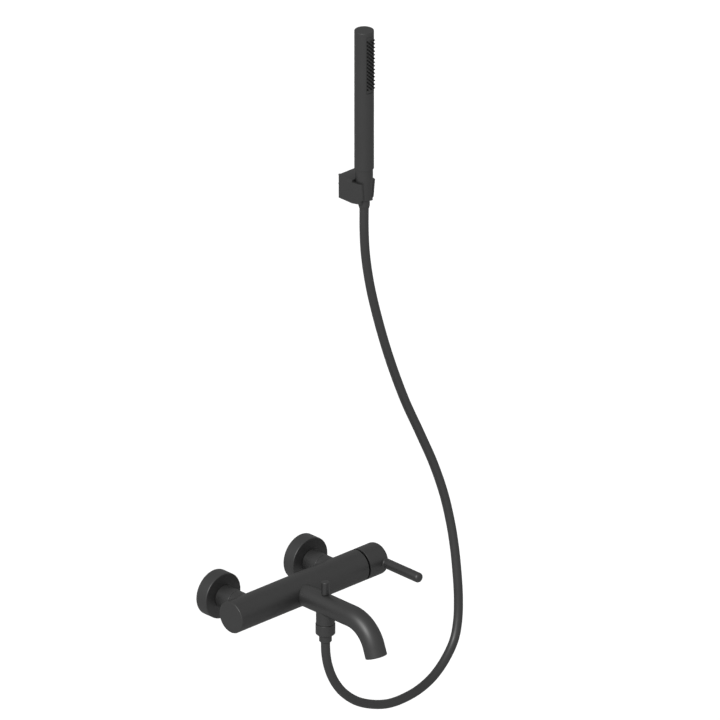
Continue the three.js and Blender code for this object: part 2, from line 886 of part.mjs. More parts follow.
const showerAxis = at(showerX, showerReach, 0);
const coneShoulder = 1.2; // height of the step from the collar to the cone
const ferruleCavity = coneBottom + 8.2;
const threadCavity = ferruleCavity + 16;
const upperFerruleStart = ferruleCavity + clearance;
const hoseEnd = upperFerruleStart + 12.7;
const upperFlangeStart = threadCavity + clearance;
const upperWasherStart = upperFlangeStart + 2 + clearance;
const inletStart = upperWasherStart + 2 + clearance;
const inletRadius = 9;

function coneNut() {
  const collar = coneNutCollar / 2;
  const large = coneNutLarge / 2;
  const ferruleRoom = 7.5;
  const threadRoom = inletRadius + clearance;
  const profile = [
    [hoseHole, coneNutBottom],
    [collar - 0.8, coneNutBottom],
    [collar, coneNutBottom + 3],
    [collar, coneBottom - coneShoulder],
    [coneNutSmall / 2, coneBottom],
    [large, coneTop],
    [large, coneNutTop - 0.4],
    [large - 0.4, coneNutTop],
    [threadRoom, coneNutTop],
    [threadRoom, threadCavity],
    [ferruleRoom, threadCavity],
    [ferruleRoom, ferruleCavity],
    [hoseHole, ferruleCavity],
  ];
  return piece("cone_nut", turned(profile, up, showerAxis, fineSides), blackCoat);
}

function upperFerrule() {
  const profile = [
    [hoseHole, upperFerruleStart],
    [7.2, upperFerruleStart],
    [7.2, upperFlangeStart],
    [inletRadius, upperFlangeStart],
    [inletRadius, upperFlangeStart + 2],
    [3.5, upperFlangeStart + 2],
    [3.5, hoseEnd + clearance],
    [hoseHole, hoseEnd + clearance],
  ];
  return piece("hose_ferrule_upper", turned(profile, up, showerAxis), brass);
}

function upperWasher() {
  const made = ring(inletRadius, 4, upperWasherStart, upperWasherStart + 2, up, showerAxis);
  return piece("hose_washer_upper", made, rubber);
}

// ---- Hose ------------------------------------------------------------------

// Route of the hose's middle: X, distance forward of the wall, height. It hangs in one loose
// loop from the outlet to the bracket.
const hoseRoute = [
  [0, outletForward, hoseStart],
  [0, outletForward, -54],
  [1, 123, -70],
  [5, 123, -88],
  [14, 123, -109],
  [30, 122.5, -131],
  [54, 122, -151.5],
  [82, 121, -166],
  [112, 119.5, -175.5],
  [142, 117, -178.5],
  [171, 115, -176],
  [198, 112, -168],
  [222, 108, -154],
  [241, 104, -135],
  [251, 100, -113],
  [257, 95, -85],
  [260.5, 88.5, -51],
  [262, 82, -18],
  [261, 76, 13],
  [256.5, 69, 50],
  [246, 61.5, 92],
  [230, 53.5, 137],
  [211, 46, 186],
  [192, 39, 245],
  [177, 34, 301],
  [165, 31, 354],
  [158, 30.2, 398],
  [showerX, showerReach, 432],
  [showerX, showerReach, 465],
  [showerX, showerReach, hoseEnd],
];
const hoseSteps = 40;

function hose() {
  const curve = new THREE.CatmullRomCurve3(hoseRoute.map(([x, d, z]) => at(x, d, z)));
  return piece("hose", swept(hoseDiameter / 2, curve, hoseSteps, 8), blackPlastic);
}

// ---- Hand shower -----------------------------------------------------------

const shellInner = showerRadius - showerWall;
const inletPlugEnd = showerBottom + 14;

// Tube with a closed, slightly rounded top and a window for the spray face.
function showerShell() {
  const profile = [
    [shellInner, showerBottom],
    [showerRadius, showerBottom],
    ...roundedEdge(showerRadius, showerTop, 0.6, 3),
    [0, showerTop],
    [0, showerTop - 2.4],
    [shellInner, showerTop - 2.4],
  ];
  const window = sector(sprayHalfAngle, 0, showerRadius + 4, sprayBottom, sprayBottom + sprayLength);
  const made = turned(profile, up, showerAxis, fineSides).subtract(window);
  return piece("hand_shower_shell", made, blackCoat);
}

// A wedge, or a curved strip of wall, centred on the front of the hand shower.
function sector(halfAngle, inner, outer, bottom, top) {
  const steps = 8;
  const outline = new THREE.Shape();
  for (let i = 0; i <= steps; i += 1) {
    const angle = -Math.PI / 2 - halfAngle + (2 * halfAngle * i) / steps;
    const x = outer * Math.cos(angle);
    const y = outer * Math.sin(angle);
    if (i === 0) outline.moveTo(x, y);
    else outline.lineTo(x, y);
  }
  if (inner === 0) outline.lineTo(0, 0);
  else
    for (let i = steps; i >= 0; i -= 1) {
      const angle = -Math.PI / 2 - halfAngle + (2 * halfAngle * i) / steps;
      outline.lineTo(inner * Math.cos(angle), inner * Math.sin(angle));
    }
  outline.closePath();
  const geometry = new THREE.ExtrudeGeometry(outline, { depth: top - bottom, bevelEnabled: false });
  geometry.translate(showerX, -showerReach, bottom);
  return solid(geometry);
}

// Soft face with rows of round nozzles.
function sprayFace() {
  const gapAngle = clearance / showerRadius;
  const bottom = sprayBottom + clearance;
  const top = sprayBottom + sprayLength - clearance;
  let made = sector(sprayHalfAngle - gapAngle, showerRadius - 2.6, showerRadius, bottom, top);
  const firstRow = sprayBottom + (sprayLength - (nozzleRows - 1) * nozzlePitch) / 2;
  const studs = [];
  for (let row = 0; row < nozzleRows; row += 1)
    for (const degrees of nozzleColumns) {
      const angle = THREE.MathUtils.degToRad(degrees);
      const direction = new THREE.Vector3(Math.sin(angle), -Math.cos(angle), 0);
      const from = at(showerX, showerReach, firstRow + row * nozzlePitch);
      const start = showerRadius - 1;
      studs.push(rod(nozzleDiameter / 2, start, showerRadius + nozzleHeight, direction, from, 4));
    }
  for (const stud of studs) made = made.add(stud);
  return piece("spray_face", made, silicone);
}

// Screwed plug at the foot of the tube, with the thread that the cone nut grips.
function showerInlet() {
  const plug = shellInner - clearance;
  const profile = [
    [6, inletStart],
    [inletRadius, inletStart],
    [inletRadius, showerBottom + clearance],
    [plug, showerBottom + clearance],
    [plug, inletPlugEnd],
    [6, inletPlugEnd],
  ];
  return piece("hand_shower_inlet", turned(profile, up, showerAxis), brass);
}

// Leads the water up the tube, and opens into a chamber behind the spray face.
function waterGuide() {
  const chamber = showerRadius - 2.6 - clearance;
  const profile = [
    [4, inletPlugEnd + clearance],
    [shellInner - clearance, inletPlugEnd + clearance],
    [shellInner - clearance, inletPlugEnd + 4],
    [5.5, inletPlugEnd + 4],
    [5.5, sprayBottom - 4],
    [chamber, sprayBottom],
    [chamber, sprayBottom + sprayLength - 1],
    [chamber - 1.5, sprayBottom + sprayLength - 1],
    [chamber - 1.5, sprayBottom + 2],
    [4, sprayBottom + 2],
  ];
  const opening = sector(sprayHalfAngle, 2, showerRadius, sprayBottom + 3, sprayBottom + sprayLength - 4);
  const made = turned(profile, up, showerAxis).subtract(opening);
  return piece("hand_shower_water_guide", made, whitePlastic);
}

// ---- Wall bracket ----------------------------------------------------------

const bracketTop = coneTop;
const plateRoom = 6; // depth of the pocket at the back, over the wall plate
const pocketHalfWidth = bracketWidth / 2 - 3;
const pocketBottom = bracketBottom + 3.4;
const pocketTop = bracketTop - 3.4;
const screwHeights = [pocketBottom + 6.5, pocketTop - 6.5];

// Tapered cup in front of the block. Two webs run from the block's front corners to where they
// touch the cup.
function bracketCup() {
  const large = cupTopDiameter / 2;
  const taper = cupBottomDiameter / cupTopDiameter;
  const aside = bracketWidth / 2;
  const behind = showerReach - bracketDepth;
  const touch = Math.PI - Math.atan2(aside, behind) - Math.acos(large / Math.hypot(aside, behind));
  const outline = new THREE.Shape();
  outline.moveTo(-aside, behind + 1);
  outline.lineTo(-aside, behind);
  const steps = fineSides / 3;
  for (let i = -steps; i <= steps; i += 1) {
    const angle = (touch * i) / steps;
    outline.lineTo(large * Math.sin(angle), -large * Math.cos(angle));
  }
  outline.lineTo(aside, behind);
  outline.lineTo(aside, behind + 1);
  outline.closePath();
  const depth = bracketHeight - cupRimDrop;
  const geometry = new THREE.ExtrudeGeometry(outline, { depth, bevelEnabled: false });
  const points = geometry.getAttribute("position");
  for (let i = 0; i < points.count; i += 1)
    if (points.getZ(i) < depth / 2 && points.getY(i) < behind - clearance)
      points.setXY(i, points.getX(i) * taper, points.getY(i) * taper);
  geometry.translate(showerX, -showerReach, bracketBottom);
  return solid(geometry);
}

// What the slanted lower ends of the jaws lack.
function jawChamfer() {
  const front = -showerReach - jawReach - 1;
  const outline = new THREE.Shape();
  outline.moveTo(-showerReach, bracketBottom);
  outline.lineTo(front, bracketBottom + (jawChamferHeight * (jawReach + 1)) / jawReach);
  outline.lineTo(front, bracketBottom - 1);
  outline.lineTo(-showerReach, bracketBottom - 1);
  outline.closePath();
  const geometry = new THREE.ExtrudeGeometry(outline, { depth: 2 * bracketWidth, bevelEnabled: false });
  const [forward, upward] = [new THREE.Vector3(0, 1, 0), new THREE.Vector3(0, 0, 1)];
  geometry.applyMatrix4(new THREE.Matrix4().makeBasis(forward, upward, new THREE.Vector3(1, 0, 0)));
  geometry.translate(showerX - bracketWidth, 0, 0);
  return solid(geometry);
}

// Block on the wall with an open tapered cup for the cone nut.
function bracketHolder() {
  const base = slab(
    showerX - bracketWidth / 2,
    showerX + bracketWidth / 2,
    0,
    bracketDepth,
    bracketBottom,
    bracketTop,
  );
  const seat = turned(
    [
      [0, coneNutBottom],
      [coneNutCollar / 2 + clearance, coneNutBottom],
      [coneNutCollar / 2 + clearance, coneBottom - coneShoulder - clearance],
      [coneNutSmall / 2 + clearance, coneBottom - clearance],
      [coneNutLarge / 2 + clearance, coneTop],
      [coneNutLarge / 2 + clearance, bracketTop + 1],
      [0, bracketTop + 1],
    ],
    up,
    showerAxis,
    fineSides,
  );
  const front = slab(
    showerX - bracketWidth,
    showerX + bracketWidth,
    showerReach + jawReach,
    showerReach + bracketDepth,
    bracketBottom - 1,
    bracketTop + 1,
  );
  const slot = slab(
    showerX - hoseSlot / 2,
    showerX + hoseSlot / 2,
    showerReach,
    showerReach + bracketDepth,
    bracketBottom - 1,
    bracketTop + 1,
  );
  const pocket = slab(
    showerX - pocketHalfWidth,
    showerX + pocketHalfWidth,
    -1,
    plateRoom,
    pocketBottom,
    pocketTop,
  );
  const screwAxis = at(showerX, 3, 0);
  const screwHole = rod(grubRadius + clearance, bracketBottom - 1, pocketBottom + 1, up, screwAxis, smallSides);
  const made = base
    .add(bracketCup())
    .subtract(seat)
    .subtract(front)
    .subtract(jawChamfer())
    .subtract(slot)
    .subtract(pocket)
    .subtract(screwHole);
  return piece("bracket_holder", made, blackCoat);
}

// Plate screwed to the wall inside the bracket's pocket.
function bracketPlate() {
  let made = slab(
    showerX - pocketHalfWidth + clearance,
    showerX + pocketHalfWidth - clearance,
    clearance,
    plateThickness,
    pocketBottom + clearance,
    pocketTop - clearance,
  );
  for (const z of screwHeights) {
    const hole = turned(
      [
        [0, -1],
        [screwDiameter / 2 + clearance, -1],
        [screwDiameter / 2 + clearance, 2.6],
        [screwDiameter + clearance, 4.4],
        [screwDiameter + clearance, 6],
        [0, 6],
      ],
      forward,
      at(showerX, 0, z),
      16,
    );
    made = made.subtract(hole);
  }
  return piece("bracket_wall_plate", made, steel);
}

function bracketScrew(name, z) {
  const profile = [
    [0, -screwBehindWall],
    [0.6, -screwBehindWall],
    [screwDiameter / 2, -screwBehindWall + 3],
    [screwDiameter / 2, 2.8],
    [screwDiameter - 0.2, 4.6],
    [0, 4.6],
  ];
  return piece(name, turned(profile, forward, at(showerX, 0, z), smallSides), steel);
}

// Pins the bracket on its wall plate from below.
function bracketGrubScrew() {
  const made = rod(grubRadius, bracketBottom + 0.6, pocketBottom, up, at(showerX, 3, 0), smallSides);
  const key = rod(1.2, bracketBottom, bracketBottom + 2.2, up, at(showerX, 3, 0), 6);
  return piece("bracket_grub_screw", made.subtract(key), steel);
}

// ---- The faucet ------------------------------------------------------------

const faucet = new THREE.Group();
faucet.name = "wall_mounted_bath_faucet";

for (const [side, x] of [
  ["left", -inletSpacing / 2],
  ["right", inletSpacing / 2],
]) {
  faucet.add(
    wallUnion(`${side}_wall_union`, x),
    flange(`${side}_flange`, x),
    unionNut(`${side}_union_nut`, x),
    filterWasher(`${side}_filter_washer`, x),
    inletNipple(`${side}_inlet_nipple`, x),
    returnValve(`${side}_return_valve`, unionBore, collarStart + 6, 10, forward, at(x, 0, 0)),
  );
}

faucet.add(
  mixerBody(),
  innerWaterway(),
  ...lands.map((start, i) => waterwaySeal(`waterway_seal_${i + 1}`, start)),
  cartridgeBaseSeal(),
  cartridgeBase(),
  fixedDisc(),
  movingDisc(),
  cartridgeHousing(),
  turningHead(),
  stemPin(),
  cartridgeStem(),
  cartridgeNut(),
  handle(),
  handleGrubScrew(),
  spout(),
  spoutSeal(),
  aeratorShell(),
  aeratorInsert(),
  aeratorWasher(),
  diverterSeat(),
  diverterRod(),
  diverterDisc(),
  diverterRodNut(),
  diverterGland(),
  diverterKnob(),
  outletNipple(),
  returnValve("outlet_return_valve", outletBore, threadBottom + 1, 10, up, outletAxis),
  hoseNut(),
  lowerWasher(),
  lowerFerrule(),
  hose(),
  coneNut(),
  upperFerrule(),
  upperWasher(),
  showerShell(),
  sprayFace(),
  showerInlet(),
  waterGuide(),
  bracketHolder(),
  bracketPlate(),
  ...screwHeights.map((z, i) => bracketScrew(`bracket_screw_${i + 1}`, z)),
  bracketGrubScrew(),
);

export default faucet;
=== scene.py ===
"""The looks of a wall mounted bath faucet with a hand shower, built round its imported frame.

Metres, +Z up. The wall is the plane Y = 0, the faucet stands out towards -Y, and the lever and the
hand shower are on the +X side.
"""
import json
import math
import bmesh
import bpy
import numpy as np
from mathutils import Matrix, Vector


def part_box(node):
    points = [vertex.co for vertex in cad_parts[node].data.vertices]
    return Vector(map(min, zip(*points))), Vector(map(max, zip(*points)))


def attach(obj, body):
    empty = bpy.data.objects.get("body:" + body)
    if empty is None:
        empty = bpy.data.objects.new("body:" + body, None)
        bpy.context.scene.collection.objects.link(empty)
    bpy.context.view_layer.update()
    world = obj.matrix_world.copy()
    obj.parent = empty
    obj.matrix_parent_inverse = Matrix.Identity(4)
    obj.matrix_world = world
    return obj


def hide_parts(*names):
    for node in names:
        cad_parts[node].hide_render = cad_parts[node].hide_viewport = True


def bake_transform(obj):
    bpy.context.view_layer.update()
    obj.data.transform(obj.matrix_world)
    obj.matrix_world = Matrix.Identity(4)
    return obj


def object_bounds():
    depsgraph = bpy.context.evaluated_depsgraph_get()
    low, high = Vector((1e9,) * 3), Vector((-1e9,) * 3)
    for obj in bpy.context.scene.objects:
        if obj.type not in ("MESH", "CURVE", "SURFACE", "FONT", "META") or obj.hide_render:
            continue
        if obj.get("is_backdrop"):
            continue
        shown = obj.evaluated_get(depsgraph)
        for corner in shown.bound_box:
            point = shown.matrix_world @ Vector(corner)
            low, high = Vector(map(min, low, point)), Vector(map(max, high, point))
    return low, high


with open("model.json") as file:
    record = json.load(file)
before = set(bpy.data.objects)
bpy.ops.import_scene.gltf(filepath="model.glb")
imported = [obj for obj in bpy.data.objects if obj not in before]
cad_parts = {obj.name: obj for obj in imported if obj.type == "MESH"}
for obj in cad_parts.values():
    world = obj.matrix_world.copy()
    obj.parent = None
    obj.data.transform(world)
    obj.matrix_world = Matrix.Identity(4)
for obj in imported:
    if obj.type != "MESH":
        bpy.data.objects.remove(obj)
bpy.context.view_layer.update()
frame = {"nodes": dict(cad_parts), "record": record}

# ---- Camera ------------------------------------------------------------------------------------
# The view is from the front left and a little above, with a long lens from far away, so that the
# edges of the hand shower and of the hose stay parallel.

view_azimuth = math.radians(-43.8)
view_elevation = math.radians(25.03)
view_width = 0.8967
aim = np.array([0.1391, -0.0401, 0.2625])
lens, sensor = 1600.0, 36.0
back = np.array([
    math.sin(view_azimuth) * math.cos(view_elevation),
    -math.cos(view_azimuth) * math.cos(view_elevation),
    math.sin(view_elevation),
])
camera_data = bpy.data.cameras.new("camera")
camera_data.lens = lens
camera_data.sensor_width = sensor
camera_data.clip_start = 1.0
camera_data.clip_end = 100.0
camera = bpy.data.objects.new("camera", camera_data)
camera.location = aim + back * view_width * lens / sensor
camera.rotation_euler = (math.pi / 2 - view_elevation, 0, view_azimuth)
bpy.context.scene.collection.objects.link(camera)
bpy.context.scene.camera = camera


# ---- Shower hose -------------------------------------------------------------------------------
# A braided inner hose with a smooth satin black plastic skin, 11.6 mm thick and 0.99 m long. It
# hangs in one loose loop between the outlet under the spout and the foot of the hand shower.

UP, RIGHT, FORWARD = np.array([0, 0, 1.0]), np.array([1.0, 0, 0]), np.array([0, -1.0, 0])


def smooth_path(stations, steps):
    """A curve through all stations: between two of them it is a cubic whose end slopes come from
    the neighbours on both sides, weighted by the square root of the distances between them."""
    first, last = 2 * stations[0] - stations[1], 2 * stations[-1] - stations[-2]
    p = np.vstack([first, stations, last])
    gap = np.sqrt(np.linalg.norm(np.diff(p, axis=0), axis=1))[:, None]
    p0, p1, p2, p3 = p[:-3], p[1:-2], p[2:-1], p[3:]
    g0, g1, g2 = gap[:-2], gap[1:-1], gap[2:]
    slope_in = ((p1 - p0) / g0 - (p2 - p0) / (g0 + g1) + (p2 - p1) / g1) * g1
    slope_out = ((p2 - p1) / g1 - (p3 - p1) / (g1 + g2) + (p3 - p2) / g2) * g1
    t = (np.arange(steps) / steps)[None, :, None]
    a, b, m, n = (x[:, None, :] for x in (p1, p2, slope_in, slope_out))
    cubic = (2 * t**3 - 3 * t**2 + 1) * a + (t**3 - 2 * t**2 + t) * m
    cubic = cubic + (3 * t**2 - 2 * t**3) * b + (t**3 - t**2) * n
    return np.vstack([cubic.reshape(-1, 3), stations[-1:]])


def tube(path, radius, across, sides=32):
    """Rings round a path: each point of a ring lies one radius from the path, on a circle square to
    it, measured from a direction that stays level with the vector across."""
    along = np.gradient(path, axis=0)
    along /= np.linalg.norm(along, axis=1)[:, None]
    side = np.cross(along, across)
    side /= np.linalg.norm(side, axis=1)[:, None]
    other = np.cross(along, side)
    angle = np.linspace(0, 2 * np.pi, sides, endpoint=False)[None, :, None]
    radius = np.broadcast_to(np.asarray(radius, float), (len(path),))[:, None, None]
    return path[:, None] + radius * (np.cos(angle) * side[:, None] + np.sin(angle) * other[:, None])


def shell(rings, looped=False):
    """Points and faces of a skin over rings of points: each ring is joined to the next by
    four-sided faces. A looped skin joins its last ring to its first, and otherwise each end ring is
    closed by a fan round its middle. The faces are turned outwards by the sign of the volume."""
    rings = np.asarray(rings, float)
    count, sides = rings.shape[:2]
    index = np.arange(count * sides).reshape(count, sides)
    lower = index if looped else index[:-1]
    upper = np.roll(index, -1, axis=0) if looped else index[1:]
    quads = np.stack([lower, np.roll(lower, -1, 1), np.roll(upper, -1, 1), upper], -1).reshape(-1, 4)
    faces = quads.tolist()
    points = rings.reshape(-1, 3)
    if not looped:
        ends = np.array([rings[0].mean(0), rings[-1].mean(0)])
        start, end = index[0], index[-1]
        hub = np.full(sides, count * sides)
        faces += np.stack([np.roll(start, -1), start, hub], -1).tolist()
        faces += np.stack([end, np.roll(end, -1), hub + 1], -1).tolist()
        points = np.vstack([points, ends])
    a, b, c, d = (points[quads[:, i]] for i in range(4))
    volume = np.einsum("ij,ij->", a, np.cross(b, c)) + np.einsum("ij,ij->", a, np.cross(c, d))
    if not looped:
        a, b, c = (points[np.array(faces[len(quads):])[:, i]] for i in range(3))
        volume += np.einsum("ij,ij->", a, np.cross(b, c))
    return points, faces if volume > 0 else [f[::-1] for f in faces]


crease = math.radians(32)


def piece(name, shells, material, body, nodes=()):
    """One piece from its shells. It stands for the CAD nodes named and hides them, moves with its body,
    and is shaded smooth except along edges that turn by more than the crease."""
    points, faces = [], []
    for shell_points, shell_faces in shells:
        offset = sum(len(p) for p in points)
        points.append(shell_points)
        faces += [[i + offset for i in f] for f in shell_faces]
    mesh = bpy.data.meshes.new(name)
    mesh.from_pydata(np.vstack(points).tolist(), [], faces)
    mesh.polygons.foreach_set("use_smooth", np.ones(len(mesh.polygons), bool))
    mesh.set_sharp_from_angle(angle=crease)
    mesh.materials.append(material)
    made = bpy.data.objects.new(name, mesh)
    bpy.context.scene.collection.objects.link(made)
    if body:
        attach(made, body)
    if nodes:
        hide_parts(*nodes)
    return made


slot_of = {part["node"]: part["material_slot"] for part in frame["record"]["subparts"]}


def finish(name, colour, spread, patch, rough, grain, depth, metal=0.0, specular=0.5):
    """A finish in the object's own coordinates. A coarse noise with patches of the size patch
    shifts the colour by spread and the roughness within rough, and a fine noise with grains of the
    size grain raises the surface by depth."""
    made = bpy.data.materials.new(name)
    made.use_nodes = True
    nodes, links = made.node_tree.nodes, made.node_tree.links
    shader = nodes["Principled BSDF"]
    shader.inputs["Metallic"].default_value = metal
    shader.inputs["Specular IOR Level"].default_value = specular
    place = nodes.new("ShaderNodeTexCoord")
    coarse = nodes.new("ShaderNodeTexNoise")
    coarse.inputs["Scale"].default_value = 1 / patch
    coarse.inputs["Detail"].default_value = 4
    tint = nodes.new("ShaderNodeMix")
    tint.data_type = "RGBA"
    tint.inputs["A"].default_value = (*[c * (1 - spread) for c in colour], 1)
    tint.inputs["B"].default_value = (*[min(1, c * (1 + spread)) for c in colour], 1)
    gloss = nodes.new("ShaderNodeMapRange")
    gloss.inputs["From Min"].default_value = 0.3
    gloss.inputs["From Max"].default_value = 0.7
    gloss.inputs["To Min"].default_value = rough[0]
    gloss.inputs["To Max"].default_value = rough[1]
    fine = nodes.new("ShaderNodeTexNoise")
    fine.inputs["Scale"].default_value = 1 / grain
    fine.inputs["Detail"].default_value = 2
    relief = nodes.new("ShaderNodeBump")
    relief.inputs["Distance"].default_value = depth
    relief.inputs["Strength"].default_value = 1.0
    links.new(place.outputs["Object"], coarse.inputs["Vector"])
    links.new(place.outputs["Object"], fine.inputs["Vector"])
    links.new(coarse.outputs["Fac"], tint.inputs["Factor"])
    links.new(tint.outputs["Result"], shader.inputs["Base Color"])
    links.new(coarse.outputs["Fac"], gloss.inputs["Value"])
    links.new(gloss.outputs["Result"], shader.inputs["Roughness"])
    links.new(fine.outputs["Fac"], relief.inputs["Height"])
    links.new(relief.outputs["Normal"], shader.inputs["Normal"])
    return made


hose_skin = finish("hose_skin", (0.0125, 0.0125, 0.0125), 0.12, 0.02, (0.42, 0.5), 0.0009, 0.00001)
outlet_y, outlet_z = -0.123, -0.0423
shower_x, shower_y = 0.1557, -0.0302
hose_top = 0.4967
hose_diameter = 0.0116
hose_stations = np.array([
    (0.0, outlet_y, outlet_z), (0.0, outlet_y, -0.054), (0.001, -0.123, -0.070),
    (0.005, -0.123, -0.088), (0.014, -0.123, -0.109), (0.030, -0.1225, -0.131),
    (0.054, -0.122, -0.1515), (0.082, -0.121, -0.166), (0.112, -0.1195, -0.1755),
    (0.142, -0.117, -0.1785), (0.171, -0.115, -0.176), (0.198, -0.112, -0.168),
    (0.222, -0.108, -0.154), (0.241, -0.104, -0.135), (0.251, -0.100, -0.113),
    (0.257, -0.095, -0.085), (0.2605, -0.0885, -0.051), (0.262, -0.082, -0.018),
    (0.261, -0.076, 0.013), (0.2565, -0.069, 0.050), (0.246, -0.0615, 0.092),
    (0.230, -0.0535, 0.137), (0.211, -0.046, 0.186), (0.192, -0.039, 0.245),
    (0.177, -0.034, 0.301), (0.165, -0.031, 0.354), (0.158, -0.0302, 0.398),
    (shower_x, shower_y, 0.432), (shower_x, shower_y, 0.465), (shower_x, shower_y, hose_top),
])
hose_path = smooth_path(hose_stations, 14)
hose = piece("shower_hose", [shell(tube(hose_path, hose_diameter / 2, FORWARD))], hose_skin, None)
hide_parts("hose")
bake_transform(hose)


# ---- Lower hose nut and ferrule ----------------------------------------------------------------
# A round union nut and the ferrule that is crimped on the hose, both turned from brass and coated
# with the same fine matt black powder as the faucet. The nut's lower edge is chamfered.

def rounded(corners, closed=False, steps=5):
    """A profile of (radius, height, rounding): each corner is cut back along both its sides and an
    arc of that rounding joins them, with a guard point just beyond each end of the arc that keeps
    the flats flat."""
    given = np.array([c[:2] for c in corners], float)
    points = []
    for i, corner in enumerate(corners):
        here, size = given[i], corner[2]
        if size == 0 or (not closed and i in (0, len(corners) - 1)):
            points.append(here[None])
            continue
        to_last, to_next = given[i - 1] - here, given[(i + 1) % len(corners)] - here
        room = 0.45 * min(np.linalg.norm(to_last), np.linalg.norm(to_next))
        u, v = to_last / np.linalg.norm(to_last), to_next / np.linalg.norm(to_next)
        half = math.acos(np.clip(u @ v, -1, 1)) / 2
        cut = min(size / math.tan(half), room)
        size = cut * math.tan(half)
        middle = here + (u + v) / np.linalg.norm(u + v) * size / math.sin(half)
        start, end = here + u * cut - middle, here + v * cut - middle
        turn = math.pi - 2 * half
        t = np.linspace(0, 1, steps + 1)[:, None]
        arc = (np.sin((1 - t) * turn) * start + np.sin(t * turn) * end) / math.sin(turn)
        guard = min(0.25 * cut, 0.1 * room) if room > cut * 1.01 else 0
        points.append(middle + arc if guard == 0 else np.vstack([
            here + u * (cut + guard), middle + arc, here + v * (cut + guard)]))
    return np.vstack(points)


def turned(profile, axis, origin, sides=96):
    """Rings of a turned surface: each profile point (radius, height) runs once round the axis."""
    axis = np.asarray(axis, float)
    side = np.cross(axis, UP if abs(axis[2]) < 0.9 else RIGHT)
    side /= np.linalg.norm(side)
    other = np.cross(axis, side)
    angle = np.linspace(0, 2 * np.pi, sides, endpoint=False)[None, :, None]
    circle = np.cos(angle) * side + np.sin(angle) * other
    profile = np.asarray(profile, float)
    return origin + profile[:, :1, None] * circle + profile[:, 1:, None] * axis


def span(node, axis):
    """Lowest and highest coordinate of a CAD node along one axis."""
    low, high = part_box(node)
    return low[axis], high[axis]


black_coat = finish("black_coat", (0.0128, 0.0128, 0.0128), 0.1, 0.03, (0.42, 0.48), 0.0006, 0.000006)
outlet_axis = np.array([0, outlet_y, 0])
nut_low, nut_high = span("hose_nut_lower", 2)
nut_radius = span("hose_nut_lower", 0)[1]
ferrule_low, ferrule_high = span("hose_ferrule_lower", 2)
ferrule_radius, ferrule_bore = 0.008, 0.0061
running_gap = 0.0003
hose_nut = piece("hose_outlet_nut", [shell(turned(rounded([
    (ferrule_radius + running_gap, nut_low, 0.0003),
    (nut_radius - 0.0013, nut_low, 0.0004),
    (nut_radius, nut_low + 0.0013, 0.0004),
    (nut_radius, nut_high, 0.0005),
    (0.0106, nut_high, 0.0002),
    (0.0106, nut_low + 0.003, 0.0002),
    (ferrule_radius + running_gap, nut_low + 0.003, 0.0002),
], closed=True), UP, outlet_axis), looped=True)], black_coat, "root", ["hose_nut_lower"])
ferrule = piece("hose_outlet_ferrule", [shell(turned(rounded([
    (ferrule_bore, ferrule_low, 0.0003),
    (ferrule_radius - 0.0011, ferrule_low, 0.0003),
    (ferrule_radius, ferrule_low + 0.0011, 0.0005),
    (ferrule_radius, ferrule_high - 0.0019, 0.0001),
    (0.0102, ferrule_high - 0.0019, 0.0002),
    (0.0102, ferrule_high, 0.0002),
    (0.0044, ferrule_high, 0.0001),
    (0.0044, outlet_z + running_gap, 0.0001),
    (ferrule_bore, outlet_z + running_gap, 0.0001),
], closed=True), UP, outlet_axis), looped=True)], black_coat, "root", ["hose_ferrule_lower"])

# ---- Cone nut at the hose's upper end ----------------------------------------------------------
# The tapered nut that screws on the hand shower and drops into the bracket's cup. It is turned from
# brass, coated like the rest, and the hose's own ferrule swivels inside it.

shower_axis = np.array([shower_x, shower_y, 0])
cone_low, cone_high = span("cone_nut", 2)
cone_radius = (span("cone_nut", 0)[1] - span("cone_nut", 0)[0]) / 2
cone_shoulder = span("bracket_holder", 2)[1]
collar_radius, collar_top = 0.0072, cone_low + 0.0108
cone_start, cone_foot_radius = cone_low + 0.012, 0.0093
cone_nut = piece("hose_cone_nut", [shell(turned(rounded([
    (ferrule_bore, cone_low, 0.0002),
    (collar_radius - 0.0008, cone_low, 0.0004),
    (collar_radius, cone_low + 0.003, 0.003),
    (collar_radius, collar_top, 0.0005),
    (cone_foot_radius, cone_start, 0.0005),
    (cone_radius, cone_shoulder, 0.004),
    (cone_radius, cone_high, 0.0005),
    (0.0093, cone_high, 0.0002),
    (0.0093, cone_start + 0.0242, 0.0002),
    (0.0075, cone_start + 0.0242, 0.0002),
    (0.0075, cone_start + 0.0082, 0.0002),
    (ferrule_bore, cone_start + 0.0082, 0.0002),
], closed=True), UP, shower_axis), looped=True)], black_coat, "hand_shower", ["cone_nut"])

# ---- Body --------------------------------------------------------------------------------------
# One brass tube, blind at its left end and bored for the cartridge at its right, with a short stub
# at the back for each inlet. Turned, brazed, blasted and powder coated in fine matt black.

body_y = -0.0695
body_axis = np.array([0, body_y, 0])
body_left, body_right = span("mixer_body", 0)
body_radius = span("mixer_body", 2)[1]
waterway_radius = 0.0132
end_wall = 0.008
inlet_x = 0.075


def saddle_rings(radius, start, from_axis, along, levels, host_radius, host_axis):
    """Rings of a stub that starts flat and ends on a round host: the last ring's height above the
    host's axis is the root of the host's radius squared less the offset squared, and the rings in
    between share out the way."""
    angle = np.linspace(0, 2 * np.pi, 96, endpoint=False)
    across = np.cross(along, host_axis)
    offset_host = radius * np.cos(angle)
    offset_across = radius * np.sin(angle)
    root = np.sqrt(host_radius**2 - offset_across**2)
    height = start + (root - start) * np.asarray(levels)[:, None]
    flat = offset_host[:, None] * host_axis + offset_across[:, None] * across
    return from_axis + flat[None] + height[..., None] * along


